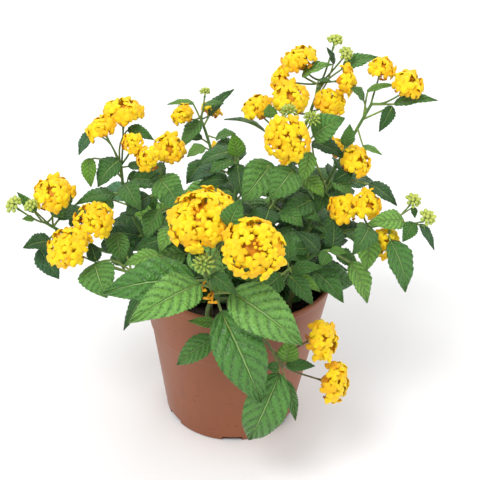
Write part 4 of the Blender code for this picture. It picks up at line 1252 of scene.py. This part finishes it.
def set_own_uv(made: bpy.types.Object, where: Callable[[np.ndarray], np.ndarray]) -> None:
    """Gives an object the UV map that its finish reads.

    Args:
        made: The object.
        where: Gives two coordinates for each point.
    """
    mesh = made.data
    while mesh.uv_layers:
        mesh.uv_layers.remove(mesh.uv_layers[0])
    layer = mesh.uv_layers.new(name="own")
    corner = np.empty(len(mesh.loops), np.int32)
    mesh.loops.foreach_get("vertex_index", corner)
    pairs = where(coordinates(mesh))[corner]
    layer.data.foreach_set("uv", np.ascontiguousarray(pairs, np.float32).ravel())


def past_throat(heights: np.ndarray) -> np.ndarray:
    """Pairs each height on a tube or a bud with the plain first coordinate."""
    return np.stack([np.full(len(heights), PAST_THROAT), heights], 1)


def make_tube_stock(slots: list[bpy.types.Material], sides: int, rows: int) -> Stock:
    """Models a closed tube by extruding a cylinder's end row by row.

    Args:
        slots: Its materials.
        sides: How many sides it has.
        rows: How many rings of points it has.

    Returns:
        The stock.
    """
    bpy.ops.mesh.primitive_cylinder_add(vertices=sides, radius=1.0, depth=1.0)
    tube = bpy.context.object
    for face in tube.data.polygons:
        face.select = face.normal.z > 0.9
    bpy.ops.object.mode_set(mode="EDIT")
    bpy.ops.mesh.select_mode(type="FACE")
    for _ in range(rows - 2):
        bpy.ops.mesh.extrude_region_move(TRANSFORM_OT_translate={"value": (0, 0, 1)})
    bpy.ops.object.mode_set(mode="OBJECT")
    bpy.ops.object.shade_smooth_by_angle(angle=math.radians(60))
    set_own_uv(tube, lambda points: past_throat(points[:, 2] / rows))
    return Stock.keep(tube, slots)


def make_leaf_stock(slots: list[bpy.types.Material], along: int, across: int) -> Stock:
    """Models a thin flat sheet, u from 0 to 1 along X and v from -1 to 1 along Y.

    Args:
        slots: Its materials.
        along: How many faces it has along.
        across: How many it has across.

    Returns:
        The stock.
    """
    bpy.ops.mesh.primitive_grid_add(x_subdivisions=along, y_subdivisions=across, size=1.0)
    sheet = bpy.context.object
    rows = coordinates(sheet.data)
    rows[:, 0] += 0.5
    rows[:, 1] *= 2.0
    set_coordinates(sheet.data, rows)
    thick = sheet.modifiers.new("thick", "SOLIDIFY")
    thick.thickness = 1.0
    thick.offset = 0.0
    bpy.ops.object.modifier_apply(modifier="thick")
    bpy.ops.object.shade_smooth()
    set_own_uv(sheet, lambda points: np.stack([points[:, 0], points[:, 1] / 2 + 0.5], 1))
    under = [1 if face.normal.z < -0.5 else 0 for face in sheet.data.polygons]
    sheet.data.polygons.foreach_set("material_index", under)
    return Stock.keep(sheet, slots)


def make_floret_stock(slots: list[bpy.types.Material]) -> Stock:
    """Models a four-lobed floret of unit radius that faces +Z, with a dip for its throat."""
    bpy.ops.mesh.primitive_circle_add(vertices=FLORET_SIDES, radius=1.0, fill_type="NGON")
    disc = bpy.context.object
    bpy.ops.object.mode_set(mode="EDIT")
    bpy.ops.mesh.select_all(action="SELECT")
    for _ in range(2):
        bpy.ops.mesh.inset(thickness=FLORET_INSET)
    bpy.ops.object.mode_set(mode="OBJECT")
    thick = disc.modifiers.new("thick", "SOLIDIFY")
    thick.thickness = FLORET_THICKNESS
    bpy.ops.object.modifier_apply(modifier="thick")
    bpy.ops.object.shade_smooth()
    rows = coordinates(disc.data)
    out = np.hypot(rows[:, 0], rows[:, 1])
    turn = np.arctan2(rows[:, 1], rows[:, 0])
    set_own_uv(disc, lambda points: np.stack([out, points[:, 2] + 0.5], 1))
    lobe = LOBE_WAIST + (1 - LOBE_WAIST) * np.abs(np.cos(2 * turn)) ** LOBE_BLUNTNESS
    lobe *= 1 + LOBE_UNEVENNESS * np.cos(turn)
    reach = out * (1 + (lobe - 1) * np.clip(out * 1.25, 0, 1) ** 2)
    cup = FLORET_RISE * out - FLORET_DROOP * out**3
    ripple = 0.12 * out**2 * np.cos(4 * turn + 0.5) + 0.09 * out**2 * np.cos(6 * turn)
    rows[:, 0] = reach * np.cos(turn)
    rows[:, 1] = reach * np.sin(turn)
    rows[:, 2] += cup + ripple
    set_coordinates(disc.data, rows)
    return Stock.keep(disc, slots)


def make_bud_stock(slots: list[bpy.types.Material]) -> Stock:
    """Models a closed bud, a blunt square-sided club that stands along +Z from the origin."""
    bpy.ops.mesh.primitive_uv_sphere_add(segments=12, ring_count=8, radius=1.0)
    ball = bpy.context.object
    rows = coordinates(ball.data)
    set_own_uv(ball, lambda points: past_throat(points[:, 2] / 2 + 0.5))
    turn = np.arctan2(rows[:, 1], rows[:, 0])
    height = (rows[:, 2] + 1) / 2
    square = 1 + 0.10 * np.cos(4 * turn) * height
    club = (0.42 + 0.58 * height**1.4) * square
    rows[:, 0] *= club
    rows[:, 1] *= club
    rows[:, 2] = height
    set_coordinates(ball.data, rows)
    bpy.ops.object.shade_smooth()
    return Stock.keep(ball, slots)


def make_crumb_stock(earth: bpy.types.Material) -> Stock:
    """Models a rough crumb of soil of unit radius."""
    bpy.ops.mesh.primitive_ico_sphere_add(subdivisions=2, radius=1.0)
    crumb = bpy.context.object
    rows = coordinates(crumb.data)
    rows *= np.array([[1 + 0.3 * noise.noise(Vector(row) * 1.7)] for row in rows])
    set_coordinates(crumb.data, rows)
    while crumb.data.uv_layers:
        crumb.data.uv_layers.remove(crumb.data.uv_layers[0])
    return Stock.keep(crumb, [earth])


def tube_rows(stock: Stock, path: list[Vector], radii: list[float]) -> np.ndarray:
    """Places a tube's points along a path.

    Args:
        stock: The tube.
        path: The centre line.
        radii: The radius at each of its points.

    Returns:
        One row for each point of the stock.
    """
    line = np.array(path)
    spans = np.linalg.norm(np.diff(line, axis=0), axis=1)
    far = np.concatenate([[0.0], np.cumsum(spans)])
    rings = round(float(stock.rows[:, 2].max()) + 0.5) + 1
    stops = np.linspace(0, far[-1], rings)
    centres = np.stack([np.interp(stops, far, line[:, k]) for k in range(3)], 1)
    sizes = np.interp(stops, far, radii)
    along = np.gradient(centres, axis=0)
    along /= np.linalg.norm(along, axis=1)[:, None]
    side = np.array(Vector(along[0]).orthogonal().normalized())
    sides = []
    for direction in along:
        side = side - direction * side.dot(direction)
        side /= np.linalg.norm(side)
        sides.append(side)
    sides = np.array(sides)
    others = np.cross(along, sides)
    row = np.clip(np.rint(stock.rows[:, 2] + 0.5).astype(int), 0, rings - 1)
    x, y = stock.rows[:, 0:1], stock.rows[:, 1:2]
    return centres[row] + sizes[row][:, None] * (x * sides[row] + y * others[row])


def head_axes(head: Head) -> tuple[Vector, Vector, float]:
    """Gives a head's centre, the way that it faces and its half width."""
    return seen(*head.at, head.depth), aim(head.turn, head.tilt), head.width / 2 * MM


# Where the small inner leaves may grow, which the model has no triangles for
INNER_LOW = 103 * MM
INNER_HIGH = 196 * MM
INNER_BOX = ((-0.13, -0.09, 0.1), (0.115, 0.12, 0.23))
INNER_FRONT = -30 * MM
INNER_FRONT_LOW = 160 * MM
INNER_POT_RADIUS = 62 * MM
INNER_POT_TOP = POT_HEIGHT + 3 * MM
INNER_HEAD_ROOM = 3
INNER_ROOM = 4.0 * MM
INNER_PAIRS = 6
INNER_SIZE = 25
INNER_SIZE_SPREAD = 7
INNER_PETIOLE = 7
INNER_PETIOLE_TILT = 26
INNER_WIDTH_SHARE = 0.58
INNER_ARCH = 0.12

# The shades of the leaves, as their finish reads them: the pale one partly and the lit one wholly
# painted light, the inner one painted shade
PALE_AND_FRONT_LIT_SHADE = 0.66
PLAIN_SHADE = 0.4
LIT_SHADE = 1.6
BLUISH_SHADE = -0.6
YOUNG_SHADE = 0.6
# The inner leaves' dark green is painted shade inside the plant
INNER_SHADOWED_SHADE = 0.22

# The spent florets that hang from the front shoot
SPENT = ((201, 291, -86), (212, 303, -84), (207, 299, -80))
SPENT_FLORET = 3.3 * MM
SPENT_TUBE = 0.7 * MM

# The young leaf between the two front heads
YOUNG_LEAVES = (Leaf("front", (229, 227), -86, (241, 199), -84, 14),)


@dataclass
class LeafyStem:
    """A leafy stem with its flower stalks, petioles and leaves."""

    shoot: Shoot
    kit: Kit
    foot: float = 1.75 * MM
    tip: float = 1.05 * MM
    stalk: float = 0.8 * MM
    stalk_top: float = 0.62 * MM
    stalk_collar: float = 0.95 * MM
    petiole: float = 0.5 * MM
    petiole_growth: float = 0.012
    petiole_most: float = 0.95 * MM
    rib_end: float = 0.2 * MM
    rib_drop: float = 0.35 * MM
    rib_stops: tuple[float, ...] = (0.02, 0.2, 0.45, 0.7, 0.88)
    blade: float = 0.42 * MM

    def __post_init__(self) -> None:
        """Draws the centre line, as coarse as the model's, and starts with no pieces."""
        self.node = "leafy_stem_" + self.shoot.name
        self.path = shoot_path(self.shoot, MODEL_STEPS)
        self.parts: list[bpy.types.Object] = []
        self.taken: list[Vector] = []
        self.missing = 0

    def build(self) -> None:
        """Builds and dresses the stem."""
        fine = shoot_path(self.shoot, 8)
        self.tube(fine, list(np.linspace(self.foot, self.tip, len(fine))), 0.0)
        for head in HEADS:
            if head.shoot == self.shoot.name:
                self.add_stalk(head)
        corners = ModelCorners(self.node)
        plans = [planned_leaf(leaf) for leaf in LEAVES if leaf.shoot == self.shoot.name]
        plans += filler_leaves(self.shoot, self.path)
        for number, plan in enumerate(plans):
            blade = next((b for b in candidates(plan) if corners.holds(b)), None)
            if blade is None:
                self.missing += 1
                continue
            self.add_leaf(blade, self.leaf_shade(blade, number))

    def leaf_shade(self, blade: Blade, number: int) -> float:
        """Gives a leaf's shade: large front ones pale, partly as painted light; some small ones painted
        as lit through; some bluish.
        """
        spread = math.sin(3.1 * number + 2.0 * len(self.shoot.name))
        # Large leaves on the front side are paler: partly their own tone, partly painted light and
        # highlight
        if blade.length > LARGE_LEAF and blade.base.y < 0:
            return PALE_AND_FRONT_LIT_SHADE + 0.3 * spread
        # Painted light: some small leaves get the glow of leaves lit through
        if (number + len(self.shoot.name)) % 4 == 1:
            return LIT_SHADE + 0.3 * spread
        if (number + len(self.shoot.name)) % 5 == 3:
            return BLUISH_SHADE + 0.2 * spread
        return PLAIN_SHADE + 0.3 * spread

    def finish(self, all_taken: list[Vector]) -> int:
        """Adds the small inner leaves, joins the stem and sets it in place.

        Args:
            all_taken: Points on every leaf so far, to which it adds its own.

        Returns:
            How many inner leaves it added.
        """
        for leaf in YOUNG_LEAVES:
            if leaf.shoot == self.shoot.name:
                self.add_leaf(Blade(*planned_leaf(leaf)), YOUNG_SHADE)
        if self.shoot.name == "front":
            for spot in SPENT:
                self.add_spent(seen(*spot))
        added = self.add_inner_leaves(all_taken)
        piece = join("fine_" + self.node, self.parts)
        set_piece(piece, self.node)
        if self.missing:
            log.info("%s: %d planned leaves aren't in the model", self.node, self.missing)
        return added

    def add_spent(self, place: Vector) -> None:
        """Adds a spent floret, which hangs from the stem by its withered tube."""
        start = nearest_on(self.path, place, 0.8)
        path = smooth_path([start, (start + place) / 2 + Vector((0, 0, 2 * MM)), place], 3)
        rows = tube_rows(self.kit.throat, path, [SPENT_TUBE] * len(path))
        self.parts.append(self.kit.throat.copy(rows, 1.0, PETAL_SLOT))
        drooped = np.array(Matrix.Rotation(2.4, 3, "X")).T
        rows = self.kit.floret.rows @ drooped * SPENT_FLORET + np.array(place)
        self.parts.append(self.kit.floret.copy(rows, 1.15, PETAL_SLOT))

    def add_inner_leaves(self, all_taken: list[Vector]) -> int:
        """Adds small leaves in pairs along the lower stem, where they stay clear of the others."""
        line = [point for point in shoot_path(self.shoot, 6) if INNER_LOW < point.z < INNER_HIGH]
        added = 0
        for k, where in enumerate(line[:: max(1, len(line) // INNER_PAIRS)]):
            for side in (0, 1):
                for spin in range(0, 180, 36):
                    turn = 97 * k + 180 * side + spin + 53 * len(self.shoot.name)
                    size = (INNER_SIZE + INNER_SIZE_SPREAD * math.sin(2.7 * k + side)) * MM
                    base = where + aim(turn, INNER_PETIOLE_TILT) * INNER_PETIOLE * MM
                    tip = base + aim(turn, 4 - 3 * k) * size
                    blade = Blade(base, tip, INNER_WIDTH_SHARE * size, 0.0, INNER_ARCH)
                    if self.is_clear(blade, all_taken):
                        self.taken.clear()
                        # Painted shade: an inner leaf takes a dark green
                        self.add_leaf(blade, INNER_SHADOWED_SHADE + 0.16 * math.sin(5.3 * k + side))
                        all_taken.extend(self.taken)
                        added += 1
                        break
        return added

    def is_clear(self, blade: Blade, all_taken: list[Vector]) -> bool:
        """Tells whether a blade stays inside the plant, and off its leaves, heads and pot."""
        stops = np.repeat(np.linspace(0.15, 1.0, 6), 3)
        sides = np.tile([-0.8, 0.0, 0.8], 6)
        points = [Vector(row) for row in blade.fine_points(stops, sides, np.zeros(18))]
        low, high = INNER_BOX
        for point in points:
            if not all(a < c < b for a, c, b in zip(low, point, high)):
                return False
            if point.y < INNER_FRONT and point.z < INNER_FRONT_LOW:
                return False
            if point.z < INNER_POT_TOP and math.hypot(point.x, point.y) > INNER_POT_RADIUS:
                return False
            for head in HEADS:
                room = (head.width / 2 + INNER_HEAD_ROOM) * MM
                if (point - seen(*head.at, head.depth)).length < room:
                    return False
        return all((point - other).length > INNER_ROOM for point in points for other in all_taken)

    def tube(self, path: list[Vector], radii: list[float], tint: float) -> None:
        """Adds a tube along a path."""
        rows = tube_rows(self.kit.tube, path, radii)
        self.parts.append(self.kit.tube.copy(rows, tint, STEM_SLOT))

    def add_stalk(self, head: Head) -> None:
        """Adds the stalk from the stem to just under a head."""
        centre, facing, radius = head_axes(head)
        end = centre - facing * (radius * 0.62 + 0.3 * MM)
        start = nearest_on(self.path, end, 0.94 + 0.05 * math.sin(1100 * radius))
        bow = facing * (end - start).length * 0.17
        path = smooth_path([start, (start + end) / 2 - bow, end], 6)
        radii = list(np.linspace(self.stalk, self.stalk_top, len(path) - 1))
        self.tube(path, [*radii, self.stalk_collar], 0.05)

    def add_leaf(self, blade: Blade, shade: float) -> None:
        """Adds a blade with its petiole, which runs on as the midrib underneath."""
        large = blade.length > LARGE_LEAF
        stock = self.kit.leaf if large else self.kit.small_leaf
        u = np.clip(stock.rows[:, 0], 0, 1)
        v = stock.rows[:, 1]
        thin = self.blade * (1 - 0.55 * np.abs(v) ** 2) * (1 - 0.4 * u)
        teeth = LEAF_TEETH if large else SMALL_LEAF_TEETH
        rows = blade.fine_points(u, v, stock.rows[:, 2] * thin, teeth)
        self.parts.append(stock.copy(rows, shade))
        self.taken.extend(Vector(row) for row in rows[::37])
        start = nearest_on(self.path, blade.base, 0.55 + 0.4 * math.sin(900 * blade.length))
        reach = (blade.base - start).length
        sag = blade.along * 0.12 * reach
        middle = (start + blade.base) / 2 - sag + Vector((0, 0, 0.08 * reach))
        stops = np.array(self.rib_stops)
        below = np.full(len(stops), -self.rib_drop)
        rib = [Vector(row) for row in blade.fine_points(stops, np.zeros(len(stops)), below)]
        points = [start, rib[0]] if reach < LONG_PETIOLE else [start, middle, rib[0]]
        path = smooth_path([*points, *rib[1:]], 3)
        thick = min(self.petiole_most, self.petiole + self.petiole_growth * blade.length)
        self.tube(path, list(np.linspace(thick, self.rib_end, len(path))), 0.25)


@dataclass
class Bloom:
    """A domed head of florets on an orange core, or of buds on a green one."""

    head: Head
    kit: Kit
    growth: float = 1.07
    ring_squash: float = 0.52
    ring_reach: float = 0.86
    floret_radius: float = 5.6 * MM
    floret_share: float = 0.48
    crowding: float = 2.25
    widest: float = math.radians(96)
    throat: tuple[float, float, float] = (0.6 * MM, 0.8 * MM, 1.0 * MM)
    closed_bud: tuple[float, float, float] = (1.4 * MM, 1.4 * MM, 5.5 * MM)
    wilted_count: int = 4
    wilted_floret: tuple[float, float, float] = (1.9 * MM, 1.5 * MM, 3.0 * MM)
    wilted_tube: float = 0.5 * MM

    def __post_init__(self) -> None:
        """Works out the head's place, size and axes from its plan."""
        self.centre, self.facing, radius = head_axes(self.head)
        self.radius = radius * self.growth
        self.first = self.facing.orthogonal().normalized()
        self.second = self.facing.cross(self.first)
        self.has_buds = self.head.kind is BUDS
        self.parts: list[bpy.types.Object] = []

    def place(self, turn: float, tilt: float, depth: float = 1.0) -> tuple[Vector, Vector, Vector]:
        """Finds a place on the dome.

        Args:
            turn: Radians about the way that the head faces.
            tilt: Radians out from it.
            depth: The dome's size, as a share of the head's.

        Returns:
            The point, the dome's outward way there, and the way outwards across the head.
        """
        across = math.cos(turn) * self.first + math.sin(turn) * self.second
        reach = self.radius * depth
        point = self.centre + reach * (
            self.ring_reach * math.sin(tilt) * across
            + self.ring_squash * math.cos(tilt) * self.facing
        )
        normal = (math.sin(tilt) * across + 1.25 * math.cos(tilt) * self.facing).normalized()
        return point, normal, across

    def set_on(
        self, stock: Stock, place: Vector, normal: Vector, spin: float, scale: Vector
    ) -> np.ndarray:
        """Turns a stock piece's +Z to a normal, spins it, sizes it and moves it to its place."""
        side = normal.orthogonal().normalized()
        other = normal.cross(side)
        turned_axes = Matrix((side, other, normal)).transposed() @ Matrix.Rotation(spin, 3, "Z")
        return stock.rows @ np.array(turned_axes @ Matrix.Diagonal(scale)).T + np.array(place)

    def add(self, stock: Stock, rows: np.ndarray, tint: float, slot: int = PETAL_SLOT) -> None:
        """Adds a copy of a stock piece to the head."""
        self.parts.append(stock.copy(rows, tint, slot))

    def build(self) -> None:
        """Builds and dresses the head."""
        if self.has_buds:
            self.build_buds()
        else:
            self.build_florets()
        self.build_core()
        piece = join("fine_" + self.head.name, self.parts)
        set_piece(piece, self.head.name)

    def build_core(self) -> None:
        """Adds the core: deep orange under open florets, darkened in part towards brown as painted
        shade in the gaps between them, and green under buds.
        """
        width, height = (0.34, 0.8) if self.has_buds else (0.66, 0.92)
        base = self.centre - self.facing * self.radius * 0.60
        scale = Vector((self.radius * width, self.radius * width, self.radius * height))
        rows = self.set_on(self.kit.bud, base, self.facing, 0.0, scale)
        if self.has_buds:
            self.add(self.kit.bud, rows, 0.0, BUD_SLOT)
        else:
            # Partly wilted brown: painted shade in the gaps between the florets
            self.add(self.kit.bud, rows, 1.4)

    def build_florets(self) -> None:
        """Covers the dome with florets, youngest and yellowest in the middle."""
        size = min(self.floret_radius, self.radius * self.floret_share)
        count = round(self.crowding * (self.radius / size) ** 2) + 1
        for k in range(count):
            share = (k + 0.35) / count
            tilt = math.acos(1 - share * (1 - math.cos(self.widest)))
            if k == 0 and self.head.kind is WIDE:
                self.add_closed(tilt)
                continue
            wobble = math.sin(12.9 * k + 3 * len(self.head.name))
            sway = math.cos(7.7 * k + self.head.turn)
            own_size = size * (0.94 + 0.16 * math.sin(5.1 * k))
            self.add_floret(k, tilt, own_size, 0.96 + 0.08 * wobble, sway)
        for k in range(self.wilted_count):
            self.add_wilted(k)

    def add_closed(self, tilt: float) -> None:
        """Adds five closed buds in the dimple at the middle of the dome."""
        for side in range(5):
            point, normal, _ = self.place(1.256 * side, tilt * 0.8 + 0.04 * (side % 2), 0.74)
            rows = self.set_on(self.kit.bud, point, normal, 0.0, Vector(self.closed_bud))
            self.add(self.kit.bud, rows, 0.2 * side)

    def add_floret(self, k: int, tilt: float, size: float, depth: float, sway: float) -> None:
        """Adds an open floret with its tube.

        Args:
            k: Its number, which turns it by golden angles.
            tilt: Radians out from the way that the head faces.
            size: Its radius.
            depth: How far out it sits, as a share of the dome.
            sway: How far it leans to a side, from -1 to 1.
        """
        turn = k * GOLDEN_ANGLE
        point, normal, across = self.place(turn, tilt, depth)
        lean = (normal + 0.42 * sway * across + 0.3 * math.cos(3.3 * k) * self.first).normalized()
        rows = self.set_on(self.kit.floret, point, lean, 2.1 * k, Vector((size, size, size)))
        shade = max(0.0, min(1.0, 0.05 + 0.22 * tilt + 0.3 * math.sin(9.1 * k)))
        self.add(self.kit.floret, rows, shade)
        inner, _, _ = self.place(turn, tilt * 0.8, 0.3)
        path = [inner, point.lerp(inner, 0.5), point - lean * 0.25 * size]
        self.add(self.kit.throat, tube_rows(self.kit.throat, path, list(self.throat)), shade + 0.4)

    def add_wilted(self, k: int) -> None:
        """Adds a spent, shrunken floret that hangs under the dome's edge."""
        down = self.first if abs(self.first.z) > abs(self.second.z) else self.second
        down = -down if down.z > 0 else down
        side = self.facing.cross(down)
        turn = 1.7 * math.sin(2.3 * k + len(self.head.name))
        across = math.cos(turn) * down + math.sin(turn) * side
        where = self.centre + self.radius * (0.6 * across - 0.12 * self.facing)
        way = (across - 0.3 * self.facing + Vector((0, 0, -0.7))).normalized()
        size = Vector(self.wilted_floret)
        rows = self.set_on(self.kit.floret, where + way * 3.5 * MM, way, 1.3 * k, size)
        self.add(self.kit.floret, rows, 1.4 + 0.2 * k)
        path = [where - way * 5 * MM, where, where + way * 3 * MM]
        rows = tube_rows(self.kit.throat, path, [self.wilted_tube] * len(path))
        self.add(self.kit.throat, rows, 1.2 + 0.2 * k)

    def build_buds(self) -> None:
        """Covers the dome with closed buds, many and slender in a spiky head, else few and stout."""
        spiky = "centre" in self.head.name or "front" in self.head.name
        self.radius *= 1.15 if spiky else 1.08
        count = 34 if spiky else 22
        size = self.radius * (0.15 if spiky else 0.27)
        for k in range(count):
            share = (k + 0.4) / count
            tilt = math.acos(1 - share * 1.3)
            point, normal, _ = self.place(k * GOLDEN_ANGLE, tilt, 0.4)
            tall = self.radius * (0.75 if spiky else 0.66) * (0.88 + 0.12 * math.sin(4.1 * k))
            rows = self.set_on(self.kit.bud, point, normal, 0.9 * k, Vector((size, size, tall)))
            shade = (0.7 if spiky else 0.95) - 0.4 * share
            self.add(self.kit.bud, rows, shade, BUD_SLOT)


@dataclass(frozen=True)
class Light:
    """A soft studio light that looks at the plant."""

    name: str
    place: tuple[float, float, float]
    size: float
    power: float

    def build(self) -> None:
        """Sets up the light."""
        bpy.ops.object.light_add(type="AREA", location=self.place)
        lamp = bpy.context.object
        lamp.name = self.name
        lamp.data.size = self.size
        lamp.data.energy = self.power
        way = Vector((0, 0, 0.14)) - Vector(self.place)
        lamp.rotation_euler = way.to_track_quat("-Z", "Y").to_euler()


@dataclass(frozen=True)
class Studio:
    """The pale floor, the soft light and the photograph's camera."""

    floor_side: float = 60.0
    floor_drop: float = 0.2 * MM
    floor_roughness: float = 0.9
    floor_colour: Colour = (0.9, 0.9, 0.9)
    sky_colour: Colour = (1.0, 1.0, 1.0)
    sky_strength: float = 0.74
    lights: tuple[Light, ...] = (
        Light("key_light", (-0.6, -0.8, 1.5), 0.7, 17.0),
        Light("fill_light", (1.3, -0.6, 0.9), 1.2, 4.0),
        Light("back_light", (0.3, 1.3, 1.3), 0.9, 8.0),
    )

    def build(self) -> None:
        """Sets up the studio."""
        self.build_floor()
        world = bpy.context.scene.world or bpy.data.worlds.new("studio")
        bpy.context.scene.world = world
        world.use_nodes = True
        sky = world.node_tree.nodes["Background"].inputs
        sky["Color"].default_value = (*self.sky_colour, 1.0)
        sky["Strength"].default_value = self.sky_strength
        bpy.context.scene.view_settings.view_transform = "Standard"
        for light in self.lights:
            light.build()
        self.build_camera()

    def build_floor(self) -> None:
        """Lays the floor just under the pot."""
        bpy.ops.mesh.primitive_plane_add(size=self.floor_side, location=(0, 0, -self.floor_drop))
        floor = bpy.context.object
        floor.name = "floor"
        pale = bpy.data.materials.new("studio_floor")
        pale.use_nodes = True
        shader = pale.node_tree.nodes["Principled BSDF"].inputs
        shader["Base Color"].default_value = (*self.floor_colour, 1.0)
        shader["Roughness"].default_value = self.floor_roughness
        floor.data.materials.append(pale)

    def build_camera(self) -> None:
        """Puts the camera at the photograph's eye."""
        eye, forward, right, up = eye_frame()
        bpy.ops.object.camera_add()
        camera = bpy.context.object
        camera.name = "photo_camera"
        turned_axes = Matrix((right, up, -forward)).transposed().to_4x4()
        camera.matrix_world = Matrix.Translation(eye) @ turned_axes
        camera.data.sensor_width = SENSOR_WIDTH
        camera.data.lens = EYE_FOCAL / PHOTO_SIDE * SENSOR_WIDTH
        bpy.context.scene.camera = camera


def make_kit() -> Kit:
    """Makes the plant's finishes and the stock pieces that wear them."""
    veins = vein_group()
    upper = LeafFinish("leaf_upper", 0.38, veins=veins).make()
    lower = LeafFinish(
        "leaf_lower", 0.6, deep=(0.07, 0.17, 0.04), mid=(0.11, 0.26, 0.06), young=(0.2, 0.38, 0.08),
        relief=-0.5 * MM, veins=veins,
    ).make()
    stem = StemFinish("stem_green", 0.55).make()
    petal = PetalFinish("petal_gold", 0.6).make()
    bud = StemFinish(
        "bud_green", 0.55, low=(0.2, 0.36, 0.05), high=(0.2, 0.4, 0.05), mottle=0.15
    ).make()
    leafy, flowery = [upper, lower, stem], [petal, bud]
    return Kit(
        leaf=make_leaf_stock(leafy, FACES_PER_TOOTH * LEAF_TEETH, LEAF_COLUMNS),
        small_leaf=make_leaf_stock(leafy, FACES_PER_TOOTH * SMALL_LEAF_TEETH, SMALL_LEAF_COLUMNS),
        tube=make_tube_stock(leafy, TUBE_SIDES, TUBE_ROWS),
        throat=make_tube_stock(flowery, THROAT_SIDES, THROAT_ROWS),
        floret=make_floret_stock(flowery),
        bud=make_bud_stock(flowery),
    )


def main() -> None:
    """Builds every assembly in order."""
    logging.basicConfig(level=logging.INFO, format="%(message)s")
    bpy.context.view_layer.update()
    kit = make_kit()
    Pot().build(PlasticFinish("terracotta_satin", 0.38).make())
    earth = SoilFinish("soil_crumbs", 0.95).make()
    Soil(make_crumb_stock(earth)).build(earth)
    stems = [LeafyStem(shoot, kit) for shoot in SHOOTS]
    for stem in stems:
        stem.build()
    taken = [point for stem in stems for point in stem.taken]
    inner = sum(stem.finish(taken) for stem in stems)
    log.info("%d small inner leaves", inner)
    for head in HEADS:
        Bloom(head, kit).build()
    Studio().build()


if __name__ == "__main__":
    main()
